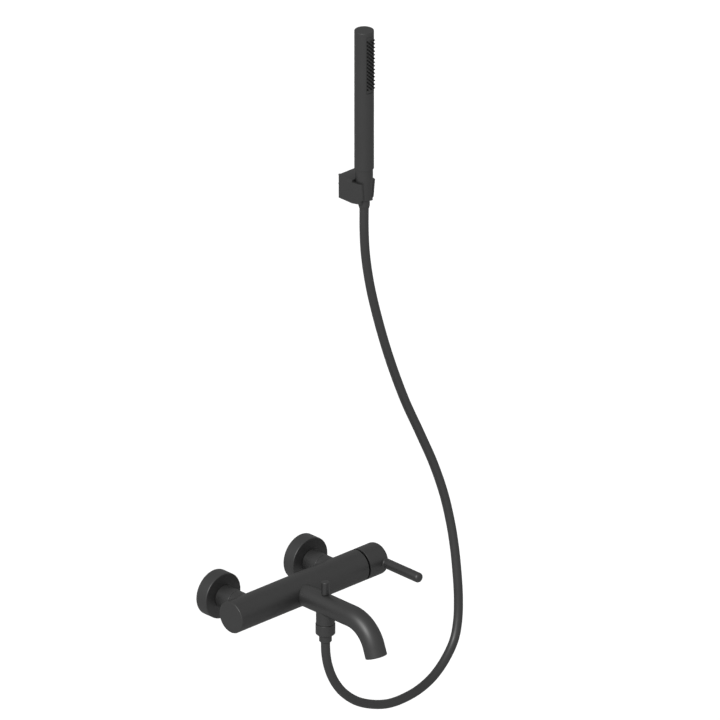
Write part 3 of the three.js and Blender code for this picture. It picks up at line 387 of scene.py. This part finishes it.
stub_face = 0.0406
stub_start = -body_y - stub_face
stub_radius = 0.0145
stubs = []
for stub_x in (-inlet_x, inlet_x):
    rings = saddle_rings(stub_radius, stub_start, np.array([stub_x, body_y, 0]), -FORWARD,
                         [0, 0.02, 0.5, 1], body_radius - 0.0001, RIGHT)
    stubs.append(shell(rings))
piece("faucet_body", [shell(turned(rounded([
    (0.0001, body_left, 0),
    (body_radius, body_left, 0.0009),
    (body_radius, body_right, 0.0004),
    (waterway_radius, body_right, 0.0003),
    (waterway_radius, body_left + end_wall, 0.0005),
    (0.0001, body_left + end_wall, 0),
]), RIGHT, body_axis, sides=160)), *stubs], black_coat, "root", ["mixer_body"])

# ---- Wall flanges ------------------------------------------------------------------------------
# Two deep round cups that lie on the tiles and hide the joint with the pipe. Each is spun from
# brass sheet and screwed on the union's neck, and its front edge is rounded.

flange_front = -span("left_flange", 1)[0]
flange_radius = span("left_flange", 2)[1]
flange_wall = 0.002
neck_radius = 0.012
for side, x in (("left", -inlet_x), ("right", inlet_x)):
    piece(f"{side}_wall_flange", [shell(turned(rounded([
        (neck_radius + running_gap, flange_front, 0.0003),
        (flange_radius, flange_front, 0.0013),
        (flange_radius, 0, 0.0004),
        (flange_radius - flange_wall, 0, 0.0004),
        (flange_radius - flange_wall, flange_front - flange_wall, 0.001),
        (neck_radius + 0.0028, flange_front - flange_wall, 0.0003),
        (neck_radius + 0.0028, flange_front - 0.006, 0.0003),
        (neck_radius + running_gap, flange_front - 0.006, 0.0003),
    ], closed=True), FORWARD, np.array([x, 0, 0]), sides=128), looped=True)],
        black_coat, "root", [f"{side}_flange"])

# ---- Union nuts --------------------------------------------------------------------------------
# A smooth round nut on each inlet pulls the body's nipple against the wall union. It is gripped
# with a strap wrench, so it has no flats.

for side, x in (("left", -inlet_x), ("right", inlet_x)):
    front, rear = (-d for d in span(f"{side}_union_nut", 1))
    radius = span(f"{side}_union_nut", 2)[1]
    piece(f"{side}_inlet_nut", [shell(turned(rounded([
        (neck_radius + running_gap, rear, 0.0002),
        (radius, rear, 0.0006),
        (radius, front, 0.0006),
        (0.0098, front, 0.0002),
        (0.0098, front - 0.0037, 0.0002),
        (neck_radius + running_gap, front - 0.0037, 0.0002),
    ], closed=True), FORWARD, np.array([x, 0, 0])), looped=True)],
        black_coat, "root", [f"{side}_union_nut"])

# ---- Wall unions -------------------------------------------------------------------------------
# An offset brass fitting in each pipe: a threaded tail that screws in the wall, an eccentric step
# that takes up a wrong pipe spacing, and the neck for the flange and the nut.


def threaded(radius, start, end, pitch, depth, sides=48):
    """Rings of an outside thread: the radius falls below the outer one by depth times a triangle
    wave of the height less the turn's share of the pitch, and fades out at both ends."""
    rows = int((end - start) / pitch * 10)
    height = np.linspace(start, end, rows)[:, None]
    turn = np.linspace(0, 1, sides, endpoint=False)[None]
    phase = (height / pitch - turn) % 1
    wave = np.abs(2 * phase - 1)
    fade = np.clip(np.minimum(height - start, end - height) / pitch, 0, 1)
    return radius - depth * (1 - fade * wave), np.broadcast_to(height, (rows, sides)), turn


def threaded_rings(radius, start, end, pitch, depth, axis, origin, sides=48):
    """The thread's rings round an axis through a point."""
    reach, height, turn = threaded(radius, start, end, pitch, depth, sides)
    side = np.cross(axis, UP if abs(axis[2]) < 0.9 else RIGHT)
    other = np.cross(axis, side)
    angle = (2 * np.pi * turn)[..., None]
    out = np.cos(angle) * side + np.sin(angle) * other
    return origin + reach[..., None] * out + height[..., None] * axis


bare_brass = finish("bare_brass", (0.72, 0.53, 0.27), 0.1, 0.006, (0.24, 0.36), 0.0004, 0.000004, metal=1.0)
tail_low = -span("left_wall_union", 1)[1]
tail_radius = 0.01045
tail_drop = 0.006
union_bore = 0.007
for side, x in (("left", -inlet_x), ("right", inlet_x)):
    tail_axis, neck_axis = np.array([x, 0, -tail_drop]), np.array([x, 0, 0])
    thread = threaded_rings(tail_radius, tail_low + 0.0005, 0.0045, 0.001814, 0.0011, FORWARD, tail_axis)
    bore = turned([(union_bore, 0.0045), (union_bore, tail_low + 0.0005)], FORWARD, tail_axis, 48)
    step = turned(rounded([
        (union_bore, 0.0035, 0), (0.0134, 0.0035, 0.0006), (0.0134, 0.007, 0.0006), (union_bore, 0.007, 0),
    ], closed=True), FORWARD, tail_axis)
    neck_front = -span(f"{side}_wall_union", 1)[0]
    neck = turned(rounded([
        (union_bore, 0.0055, 0), (neck_radius, 0.0055, 0.0003), (neck_radius, neck_front, 0.0004),
        (union_bore, neck_front, 0.0003),
    ], closed=True), FORWARD, neck_axis)
    piece(f"{side}_offset_union", [
        shell(np.concatenate([thread, bore]), looped=True),
        shell(step, looped=True),
        shell(neck, looped=True),
    ], bare_brass, "root", [f"{side}_wall_union"])

# ---- Cartridge nut -----------------------------------------------------------------------------
# The black plastic nut that clamps the ceramic cartridge in the body's open end. Its rim is what
# shows in the narrow gap behind the lever's cap.

black_plastic = finish("black_plastic", (0.012, 0.012, 0.0125), 0.1, 0.01, (0.5, 0.6), 0.0005, 0.00001)
rim_start = body_right + running_gap
rim_end = span("cartridge_nut", 0)[1]
rim_radius = span("cartridge_nut", 2)[1]
nut_start = span("cartridge_nut", 0)[0]
piece("cartridge_rim_nut", [shell(turned(rounded([
    (0.0086, nut_start, 0.0002),
    (0.0129, nut_start, 0.0002),
    (0.0129, rim_start, 0.0001),
    (rim_radius, rim_start, 0.0003),
    (rim_radius, rim_end - 0.0014, 0.0005),
    (rim_radius - 0.0024, rim_end, 0.0003),
    (0.0086, rim_end, 0.0003),
], closed=True), RIGHT, body_axis), looped=True)], black_plastic, "root", ["cartridge_nut"])

# ---- Lever handle ------------------------------------------------------------------------------
# A hollow brass cap on the body's end with a round lever that grows out of its rounded shoulder.
# The two are brazed and coated as one, and a set screw under the cap clamps the stem.

cap_start, cap_end = span("handle", 0)
lever_tip = -span("handle", 1)[0] + body_y
lever_radius = 0.0064
lever_x = cap_end - lever_radius
hub_radius, hub_start = 0.0085, cap_start + 0.0034
cap_wall, cap_hollow = 0.002, 0.0177
cap = shell(turned(rounded([
    (0.0001, cap_end, 0),
    (body_radius, cap_end, lever_radius),
    (body_radius, cap_start, 0.0004),
    (body_radius - cap_wall, cap_start, 0.0003),
    (body_radius - cap_wall, cap_start + cap_hollow, 0.0005),
    (hub_radius, cap_start + cap_hollow, 0.0005),
    (hub_radius, hub_start, 0.0003),
    (0.0001, hub_start, 0),
], steps=12), RIGHT, body_axis, sides=160))


def cap_reach(x, z):
    """How far forward of its axis the cap's surface lies at a place: the root of its radius squared
    less the height squared, where the radius shrinks as a quarter circle past the shoulder."""
    past = np.clip(x - lever_x, 0, lever_radius)
    radius = body_radius - lever_radius + np.sqrt(lever_radius**2 - past**2)
    return np.sqrt(np.maximum(radius**2 - z**2, 0))


def lever_rings():
    """Rings of the lever from its root on the cap to its tip. At the root each point is set on the
    cap's surface, with a small fillet that fades out where the lever runs on into the shoulder, and
    at the tip the radius falls as a quarter circle."""
    angle = np.linspace(0, 2 * np.pi, 96, endpoint=False)
    fillet = 0.0011 * np.clip((1 - np.cos(angle)) / 1.2, 0, 1)
    rings = []
    for turn in np.linspace(0, np.pi / 2, 7):
        radius = lever_radius + fillet * (1 - np.sin(turn))
        x, z = lever_x + radius * np.cos(angle), radius * np.sin(angle)
        base = cap_reach(lever_x + (lever_radius + fillet) * np.cos(angle), z) - 0.00003
        reach = base + fillet * (1 - np.cos(turn))
        rings.append(np.stack([x, body_y - reach, z], -1))
    start = rings[-1]
    for share in (0.03, 0.5):
        rings.append(start + share * (np.array([0, body_y - lever_tip + 0.002, 0]) - start) * [0, 1, 0])
    tip_round = 0.0036
    for turn in np.linspace(0, np.pi / 2, 7):
        radius = lever_radius - tip_round * (1 - math.cos(turn))
        reach = lever_tip - tip_round * (1 - math.sin(turn))
        x, z = lever_x + radius * np.cos(angle), radius * np.sin(angle)
        rings.append(np.stack([x, np.full_like(x, body_y - reach), z], -1))
    rings.append(rings[-1] + ([lever_x, 0, 0] - rings[-1]) * [0.06, 0, 0.06])
    return np.array(rings)


lever_handle = piece("lever_handle", [cap, shell(lever_rings())], black_coat, "handle", ["handle"])


# ---- Spout -------------------------------------------------------------------------------------
# A thin-walled brass tube that leaves the body at its middle, runs straight out and bends down by
# 70 degrees. The shower outlet's boss hangs under it. Both are brazed and powder coated.

spout_radius, spout_bore = 0.0139, 0.0114
spout_reach, bend_radius, bend, mouth_length = 0.145, 0.042, math.radians(70), 0.014


def spout_path():
    """The spout's middle line: straight out, an arc downwards, and a short straight mouth."""
    start = spout_reach - bend_radius * math.sin(bend) - mouth_length * math.cos(bend)
    turn = np.linspace(0, bend, 33)
    out = start + bend_radius * np.sin(turn)
    fall = bend_radius * (1 - np.cos(turn))
    end = np.linspace(0, mouth_length, 7)[1:]
    out = np.concatenate([np.linspace(0.03, start, 9)[:-1], out, out[-1] + end * math.cos(bend)])
    fall = np.concatenate([np.zeros(8), fall, fall[-1] + end * math.sin(bend)])
    return np.stack([np.zeros_like(out), body_y - out, -fall], -1)


def spout_skin(radius):
    """Rings of one face of the spout's wall, the first one set on the body's round side."""
    rings = tube(spout_path(), radius, RIGHT, sides=96)
    first = rings[0].copy()
    first[:, 1] = body_y - np.sqrt((body_radius + 0.0001) ** 2 - first[:, 2] ** 2)
    second = first + (rings[0] - first) * 0.03
    return np.concatenate([[first, second], rings])


mouth_axis = np.array([0, -math.cos(bend), -math.sin(bend)])
outside, inside = spout_skin(spout_radius), spout_skin(spout_bore)
lip = 0.0004
outer_lip = outside[-1] - mouth_axis * lip
outer_end = (outside[-1] - spout_path()[-1]) * (1 - lip / spout_radius) + spout_path()[-1]
inner_end = (inside[-1] - spout_path()[-1]) * (1 + lip / spout_bore) + spout_path()[-1]
inner_lip = inside[-1] - mouth_axis * lip
spout_wall = np.concatenate([outside[:-1], [outer_lip, outer_end, inner_end, inner_lip], inside[-2::-1]])
boss_radius, boss_bore = 0.01185, 0.0098
boss_bottom = -0.0254


def boss_skin(radius):
    """Rings of one face of the boss, from its lower edge up to the spout's round side."""
    return saddle_rings(
        radius, -boss_bottom, outlet_axis, -UP, [0, 0.03, 0.6, 1], spout_radius - 0.0001, FORWARD)


outer_boss, inner_boss = boss_skin(boss_radius), boss_skin(boss_bore)
boss = np.concatenate([outer_boss[::-1], inner_boss])
piece("bent_spout", [shell(spout_wall, looped=True), shell(boss, looped=True)], black_coat, "root", ["spout"])

# ---- Aerator -----------------------------------------------------------------------------------
# A coated ring screwed in the spout's mouth, and the white plastic jet former behind its lip, whose
# ribs and rings split the water into fine jets.

mouth_centre = spout_path()[-1]
aerator_radius = 0.0111
piece("aerator_ring", [shell(turned(rounded([
    (aerator_radius - 0.0016, -0.009, 0.0001),
    (aerator_radius, -0.009, 0.0002),
    (aerator_radius, -0.0005, 0.0003),
    (aerator_radius - 0.0026, -0.0005, 0.0003),
    (aerator_radius - 0.0026, -0.0018, 0.0002),
    (aerator_radius - 0.0016, -0.0018, 0.0001),
], closed=True), mouth_axis, mouth_centre), looped=True)], black_coat, "root", ["aerator_shell"])


def jet_former():
    """Rings of the jet former's face: its height falls into pockets where neither the rings nor the
    ribs stand, by a product of two steep waves, one of the radius and one of the angle."""
    outer = 0.0092
    radius = np.linspace(outer, 0.0002, 60)[:, None]
    angle = np.linspace(0, 2 * np.pi, 192, endpoint=False)[None]
    ring_wave = np.clip(6 * np.sin(2 * np.pi * radius / 0.0023 - 0.8), 0, 1)
    rib_wave = np.clip(6 * np.cos(16 * angle) + 3, 0, 1)
    pocket = np.where((radius > 0.0012) & (radius < outer - 0.0006), ring_wave * rib_wave, 0)
    height = -0.0021 - 0.0022 * pocket
    side = np.cross(mouth_axis, RIGHT)
    flat = radius[..., None] * (np.cos(angle)[..., None] * RIGHT + np.sin(angle)[..., None] * side)
    face = mouth_centre + flat + height[..., None] * mouth_axis
    rim = face[0] - 0.0063 * mouth_axis
    return np.concatenate([[rim], face])


white_plastic = finish("white_plastic", (0.8, 0.79, 0.75), 0.03, 0.01, (0.4, 0.5), 0.0005, 0.000005)
piece("aerator_jet_former", [shell(jet_former())], white_plastic, "root", ["aerator_insert"])

# ---- Diverter knob -----------------------------------------------------------------------------
# A slim coated brass button on the diverter's rod. Pulled up while water runs, it sends the water to
# the hand shower.

knob_low, knob_high = span("diverter_knob", 2)
knob_radius = span("diverter_knob", 0)[1]
piece("diverter_button", [shell(turned(rounded([
    (0.0021, knob_low + 0.0103, 0),
    (0.0021, knob_low, 0.0002),
    (knob_radius, knob_low, 0.0004),
    (knob_radius, knob_high, 0.0008),
    (0.0003, knob_high, 0),
]), UP, outlet_axis))], black_coat, "diverter", ["diverter_knob"])

# ---- Hand shower tube --------------------------------------------------------------------------
# A slim brass tube with a closed, softly edged top. A window near the top of its front side holds
# the spray face, so the wall is cut through there.

tube_low, tube_high = span("hand_shower_shell", 2)
tube_radius = (span("hand_shower_shell", 0)[1] - span("hand_shower_shell", 0)[0]) / 2
tube_wall = 0.002
face_low, face_high = span("spray_face", 2)
window_low, window_high = face_low - running_gap, face_high + running_gap
window_half = math.radians(29)


def shower_tube():
    """The tube's outer and inner skin on one grid of angle and height. The cells inside the window
    are left out of both, and the two skins are joined round the window and at the foot."""
    side_columns = np.linspace(window_half, 2 * np.pi - window_half, 81)
    front_columns = np.linspace(-window_half, window_half, 17)[1:-1]
    angle = np.concatenate([side_columns, front_columns + 2 * np.pi])
    edge = 0.0007
    turn = np.linspace(0, np.pi / 2, 7)
    straight = np.concatenate([
        np.linspace(tube_low, window_low, 8), np.linspace(window_low, window_high, 10)[1:],
        [tube_high - 0.0025],
    ])
    top = np.array([[tube_radius * share, 0] for share in (0.9, 0.45, 0.002)])
    outer = np.vstack([
        np.stack([np.full_like(straight, tube_radius), straight], -1),
        np.stack([tube_radius - edge + edge * np.cos(turn), tube_high - edge + edge * np.sin(turn)], -1),
        np.stack([top[:, 0], np.full(3, tube_high)], -1),
    ])
    inner = outer.copy()
    inner[:, 0] = np.minimum(outer[:, 0], tube_radius - tube_wall)
    inner[:, 1] = np.minimum(outer[:, 1], tube_high - 0.0024)
    circle = np.stack([np.sin(angle), -np.cos(angle), np.zeros_like(angle)], -1)
    rows, columns = len(outer), len(angle)
    skins = [shower_axis + p[:, 0, None, None] * circle + p[:, 1, None, None] * UP for p in (outer, inner)]
    points = np.concatenate([s.reshape(-1, 3) for s in skins])
    index = np.arange(rows * columns).reshape(rows, columns)
    next_column = np.roll(index, -1, axis=1)
    cells = np.stack([index[:-1], next_column[:-1], next_column[1:], index[1:]], -1)
    middle_z = (outer[:-1, 1] + outer[1:, 1]) / 2
    in_rows = (middle_z > window_low) & (middle_z < window_high)
    in_columns = np.arange(columns) >= 80
    hole = in_rows[:, None] & in_columns[None]
    count = rows * columns
    faces = cells[~hole].tolist() + (cells[~hole][:, ::-1] + count).tolist()
    foot = np.stack([next_column[0], index[0], index[0] + count, next_column[0] + count], -1)
    faces += foot.tolist()
    for axis, shift in ((0, 1), (0, -1), (1, 1), (1, -1)):
        border = hole & ~np.roll(hole, shift, axis=axis)
        low_edge = {(0, 1): (0, 1), (0, -1): (2, 3), (1, 1): (3, 0), (1, -1): (1, 2)}[(axis, shift)]
        a, b = cells[border][:, low_edge[0]], cells[border][:, low_edge[1]]
        faces += np.stack([a, b, b + count, a + count], -1).tolist()
    return points, faces


def closed(made):
    """Merges what lies on one spot, and turns all faces outwards."""
    work = bmesh.new()
    work.from_mesh(made.data)
    bmesh.ops.remove_doubles(work, verts=work.verts, dist=1e-6)
    bmesh.ops.recalc_face_normals(work, faces=work.faces)
    work.to_mesh(made.data)
    work.free()
    made.data.set_sharp_from_angle(angle=crease)
    return made


closed(piece("hand_shower_tube", [shower_tube()], black_coat, "hand_shower", ["hand_shower_shell"]))

# ---- Spray face --------------------------------------------------------------------------------
# A curved strip of soft grey-black silicone in the tube's window. Its small cone nozzles, darker than
# the strip, stand in close staggered rows with a fine hole each, and lime rubs off with a thumb.

spray_rubber = finish("spray_rubber", (0.0125, 0.0125, 0.0125), 0.1, 0.01, (0.5, 0.6), 0.0004, 0.000008)
nozzle_rubber = finish(
    "nozzle_rubber", (0.003, 0.003, 0.003), 0.1, 0.01, (0.6, 0.7), 0.0004, 0.000008, specular=0.15)
nozzle_pitch = 0.005
nozzle_rows = 14
nozzle_columns = np.radians([-24, -12, 0, 12, 24])
nozzle_height = 0.0022


def face_strip():
    """The strip as rings round its cross-section, a curved bar with rounded edges, one ring for each
    height; the first and last few rings draw in to round its ends."""
    half = window_half - running_gap / tube_radius
    thickness, edge = 0.0026, 0.0004
    angle = np.linspace(-half, half, 33)
    outer = np.full_like(angle, tube_radius)
    outer[[0, -1]] -= edge
    section_angle = np.concatenate([angle, angle[::-1]])
    section_radius = np.concatenate([outer, np.full_like(angle, tube_radius - thickness)])
    height = np.concatenate([[face_low, face_low + edge], np.linspace(face_low + 0.002, face_high - 0.002, 5),
                             [face_high - edge, face_high]])
    draw = np.zeros_like(height)
    draw[[0, -1]] = edge
    radius = np.minimum(section_radius[None], tube_radius - draw[:, None])
    return shower_axis + np.stack([
        radius * np.sin(section_angle), -radius * np.cos(section_angle),
        np.broadcast_to(height[:, None], radius.shape)], -1)


def nozzles():
    """All nozzles as one set of shells: the turned profile of one nozzle is set on every place of
    the pattern, its axis pointing straight out of the strip there."""
    profile = np.array([(0.00125, -0.0003), (0.00125, 0.0001), (0.00105, 0.0005), (0.00085, 0.0016),
                        (0.0007, nozzle_height), (0.00034, nozzle_height), (0.0003, 0.0012)])
    first = (face_low + face_high - (nozzle_rows - 1) * nozzle_pitch) / 2
    made = []
    for number, column in enumerate(nozzle_columns):
        out = np.array([math.sin(column), -math.cos(column), 0])
        stagger = nozzle_pitch / 2 * (number % 2)
        for row in range(nozzle_rows - number % 2):
            origin = shower_axis + tube_radius * out + (first + row * nozzle_pitch + stagger) * UP
            made.append(shell(turned(profile, out, origin, sides=12)))
    return made


piece("spray_strip", [shell(face_strip())], spray_rubber, "hand_shower", ["spray_face"])
piece("spray_nozzles", nozzles(), nozzle_rubber, "hand_shower", ["spray_face"])

# ---- Wall bracket ------------------------------------------------------------------------------
# A coated brass block against the wall with an open tapered cup in front, slotted so that the hose
# can pass. The seat inside the cup is painted near black with little gloss: painted shade for the
# deep shadow inside it. The block slides over a steel plate.

bracket_low, bracket_high = span("bracket_holder", 2)
bracket_left, bracket_right = span("bracket_holder", 0)
bracket_half = (bracket_right - bracket_left) / 2
bracket_front = 0.024
cup_high = bracket_high - 0.003
cup_top, cup_bottom = 0.014, 0.0114
jaw_front = -span("bracket_holder", 1)[0]
slot_half = 0.0067
jaw_chamfer = 0.0061
past = 0.001
screw_hole = 0.0025


def cup_section(z):
    """The cup's outline at a height, as one path of points (across, out). It starts in the block,
    leaves it at its front corner, runs straight to where it touches the round of the cup, follows
    that round to the slanted or flat end of the jaw, and comes back the same way mirrored. The cup's
    radius grows evenly with the height."""
    share = (z - bracket_low) / (cup_high - bracket_low)
    radius = cup_bottom + (cup_top - cup_bottom) * share
    centre = -shower_y
    behind = centre - bracket_front
    slant = (z - bracket_low) / jaw_chamfer * (jaw_front - centre)
    front = min(jaw_front, centre + max(slant, 0.0002))
    touch = math.pi - math.atan2(bracket_half, behind) - math.acos(radius / math.hypot(bracket_half, behind))
    end = min(math.acos((front - centre) / radius), touch)
    arc = np.linspace(touch, end, 25)
    half = np.vstack([
        [[bracket_half, bracket_front - 0.001], [bracket_half, bracket_front]],
        np.stack([radius * np.sin(arc), centre + radius * np.cos(arc)], -1),
        [[radius * math.sin(end) * 0.5, centre + radius * math.cos(end)]],
    ])
    return np.vstack([half, half[::-1] * [-1, 1]])


def stacked(section, heights):
    """Rings from an outline that changes with the height."""
    rings = []
    for z in heights:
        outline = section(z)
        rings.append(np.column_stack([shower_x + outline[:, 0], -outline[:, 1], np.full(len(outline), z)]))
    return shell(rings)


def box_shell(low, high):
    """A plain box between two corners, as two rings of four points."""
    x, y = np.array([low[0], high[0], high[0], low[0]]), np.array([low[1], low[1], high[1], high[1]])
    return shell([np.stack([x, y, np.full(4, z)], -1) for z in (low[2], high[2])])


def settle(made):
    """Replaces a piece's mesh by what its modifiers make of it."""
    bpy.context.view_layer.update()
    result = bpy.data.meshes.new_from_object(made.evaluated_get(bpy.context.evaluated_depsgraph_get()))
    made.modifiers.clear()
    made.data = result
    made.data.set_sharp_from_angle(angle=crease)


def merge(made, mode, shells, skin=None):
    """Joins the shells with a piece, or cuts them out of it, and keeps the result as its mesh. A cut
    leaves the finish skin on the faces it makes."""
    other = closed(piece("other", shells, skin or made.data.materials[0], None))
    joined = made.modifiers.new("join", "BOOLEAN")
    joined.operation = mode
    joined.object = other
    joined.solver = "EXACT"
    joined.material_mode = "TRANSFER"
    settle(made)
    bpy.data.objects.remove(other)


def seat_profile():
    """The seat in the cup: the cone nut's own profile, a running gap wider."""
    return [
        (0.0001, bracket_low - past),
        (collar_radius + running_gap, bracket_low - past),
        (collar_radius + running_gap, collar_top - running_gap),
        (cone_foot_radius + running_gap, cone_start - running_gap),
        (cone_radius + running_gap, bracket_high),
        (cone_radius + running_gap, bracket_high + past),
        (0.0001, bracket_high + past),
    ]


plate_low, plate_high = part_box("bracket_wall_plate")
grub_y = -0.003
bracket = closed(piece("wall_bracket", [box_shell(
    (bracket_left, -bracket_front, bracket_low), (bracket_right, 0, bracket_high),
)], black_coat, "root", ["bracket_holder"]))
merge(bracket, "UNION", [stacked(cup_section, np.concatenate([
    np.linspace(bracket_low, bracket_low + jaw_chamfer, 7), [cup_high]]))])
# Painted shade: the seat's faces get a near-black finish with weak reflection that stands for the deep shadow
# inside the cup.
painted_seat_shade = finish(
    "painted_seat_shade", (0.003, 0.003, 0.003), 0.1, 0.01, (0.6, 0.7), 0.0005, 0.000005, specular=0.15)
merge(bracket, "DIFFERENCE", [shell(turned(seat_profile(), UP, shower_axis, 128))], painted_seat_shade)
merge(bracket, "DIFFERENCE", [box_shell(
    (shower_x - slot_half, -0.06, bracket_low - past),
    (shower_x + slot_half, shower_y, bracket_high + past),
)])
merge(bracket, "DIFFERENCE", [box_shell(
    (plate_low[0] - running_gap, -0.006, plate_low[2] - running_gap),
    (plate_high[0] + running_gap, past, plate_high[2] + running_gap),
)])
merge(bracket, "DIFFERENCE", [shell(turned([
    (screw_hole, bracket_low - past),
    (screw_hole, plate_low[2] + past),
], UP, np.array([shower_x, grub_y, 0]), 32))])
bevel = bracket.modifiers.new("edges", "BEVEL")
bevel.width = 0.0005
bevel.segments = 3
bevel.angle_limit = crease
settle(bracket)

# ---- Screws ------------------------------------------------------------------------------------
# Two stainless wood screws hold the bracket's plate in the wall. A small set screw with a hexagon
# socket pins the bracket on the plate, and another clamps the lever on its stem.

steel = finish("steel", (0.60, 0.61, 0.62), 0.06, 0.004, (0.25, 0.35), 0.0003, 0.000003, metal=1.0)


def hexagon_rings(size, levels, axis, origin, sides):
    """Rings of a hexagon, one at each level: the radius is the size over the cosine of the angle's
    distance from the middle of its flat."""
    angle = np.linspace(0, 2 * np.pi, sides, endpoint=False)
    flat = size / np.cos((angle + np.pi / 6) % (np.pi / 3) - np.pi / 6)
    side = np.cross(axis, UP if abs(axis[2]) < 0.9 else RIGHT)
    other = np.cross(axis, side)
    direction = np.cos(angle)[:, None] * side + np.sin(angle)[:, None] * other
    return np.array([origin + flat[:, None] * direction + level * axis for level in levels])


def set_screw(name, node, axis, origin, head, foot, material, body):
    """A set screw from its head to its foot: threaded side, and a hexagon socket in the head."""
    radius = 0.0022
    thread = threaded_rings(radius, min(head, foot), max(head, foot), 0.0007, 0.0003, axis, origin, 32)
    if foot > head:
        thread = thread[::-1]
    inward = 1 if foot > head else -1
    socket = hexagon_rings(0.00105, (head, head + inward * 0.002), axis, origin, 32)
    return piece(name, [shell(np.concatenate([thread, socket]))], material, body, [node])


handle_grub_low, handle_grub_high = span("handle_grub_screw", 2)
grub_x = sum(span("handle_grub_screw", 0)) / 2
set_screw("lever_set_screw", "handle_grub_screw", UP, np.array([grub_x, body_y, 0]),
          handle_grub_low, handle_grub_high, steel, "handle")
bracket_grub_low, bracket_grub_high = span("bracket_grub_screw", 2)
set_screw("bracket_set_screw", "bracket_grub_screw", UP, np.array([shower_x, grub_y, 0]),
          bracket_grub_low, bracket_grub_high, steel, "root")
merge(lever_handle, "DIFFERENCE", [shell(turned([
    (screw_hole, -body_radius - past),
    (screw_hole, handle_grub_low + 0.0001),
], UP, np.array([grub_x, body_y, 0]), 32))])
for number in (1, 2):
    node = f"bracket_screw_{number}"
    low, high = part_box(node)
    middle = np.array([shower_x, 0, (low[2] + high[2]) / 2])
    shank = threaded_rings(0.002, -high[1], 0.0026, 0.0014, 0.0006, FORWARD, middle, 32)
    tip = turned([(0.0002, -high[1])], FORWARD, middle, 32)
    head = turned([(0.0037, 0.0046), (0.0036, 0.0046)], FORWARD, middle, 32)
    piece(f"bracket_wood_screw_{number}", [shell(np.concatenate([tip, shank, head]))], steel, "root", [node])

# ---- Pieces inside -----------------------------------------------------------------------------
# Seals, discs, valves and brass parts that only show when the faucet is taken apart. Their shapes
# come from the frame, and each gets the finish of its own stuff.

rubber = finish("rubber", (0.02, 0.02, 0.02), 0.1, 0.008, (0.6, 0.75), 0.0004, 0.000008)
ceramic = finish("ceramic", (0.86, 0.84, 0.78), 0.03, 0.01, (0.12, 0.2), 0.0006, 0.000002)
finish_of_slot = {
    "black_coat": black_coat, "black_plastic": black_plastic, "hose_skin": hose_skin,
    "white_plastic": white_plastic, "bare_brass": bare_brass, "steel": steel, "rubber": rubber,
    "spray_rubber": spray_rubber, "ceramic": ceramic,
}
for node, made in frame["nodes"].items():
    made.data.materials.clear()
    made.data.materials.append(finish_of_slot[slot_of[node]])

# ---- Studio ------------------------------------------------------------------------------------
# A pale seamless floor well below the faucet, which lights it but doesn't mirror in it, a sky that
# darkens towards the far side of the faucet but looks evenly white, and one soft key light.

floor_mesh = bpy.data.meshes.new("floor")
reach = 30
floor_mesh.from_pydata(
    [(-reach, -reach, 0), (reach, -reach, 0), (reach, reach, 0), (-reach, reach, 0)], [], [(0, 1, 2, 3)])
floor = bpy.data.objects.new("floor", floor_mesh)
floor.location = (0, 0, -0.6)
bpy.context.scene.collection.objects.link(floor)
pale_floor = finish("pale_floor", (0.8, 0.8, 0.8), 0.005, 0.5, (0.8, 0.9), 0.01, 0.00001, specular=0.0)
floor_mesh.materials.append(pale_floor)
floor.visible_glossy = False
floor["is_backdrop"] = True

world = bpy.data.worlds.new("studio")
world.use_nodes = True
sky, links = world.node_tree.nodes, world.node_tree.links
sky["Background"].inputs["Color"].default_value = (1, 1, 1, 1)
seen = sky.new("ShaderNodeLightPath")
outward = sky.new("ShaderNodeTexCoord")
towards_dark = sky.new("ShaderNodeVectorMath")
towards_dark.operation = "DOT_PRODUCT"
towards_dark.inputs[1].default_value = tuple(-back)
lighting = sky.new("ShaderNodeMapRange")
lighting.inputs["From Min"].default_value = -1
lighting.inputs["To Min"].default_value = 0.95
lighting.inputs["To Max"].default_value = 0.3
strength = sky.new("ShaderNodeMapRange")
strength.inputs["To Max"].default_value = 0.97
links.new(outward.outputs["Generated"], towards_dark.inputs[0])
links.new(towards_dark.outputs["Value"], lighting.inputs["Value"])
links.new(lighting.outputs["Result"], strength.inputs["To Min"])
links.new(seen.outputs["Is Camera Ray"], strength.inputs["Value"])
links.new(strength.outputs["Result"], sky["Background"].inputs["Strength"])
bpy.context.scene.world = world


def soft_light(name, direction, spread, strength):
    """A light from very far away in a direction, as wide as a spread of degrees."""
    data = bpy.data.lights.new(name, "SUN")
    data.angle = math.radians(spread)
    data.energy = strength
    light = bpy.data.objects.new(name, data)
    light.rotation_euler = Vector(direction).to_track_quat("Z", "Y").to_euler()
    bpy.context.scene.collection.objects.link(light)


soft_light("key", (-0.766, -0.205, 0.61), 22, 3.3)

scene = bpy.context.scene
scene.view_settings.view_transform = "Standard"
scene.view_settings.look = "None"

low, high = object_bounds()
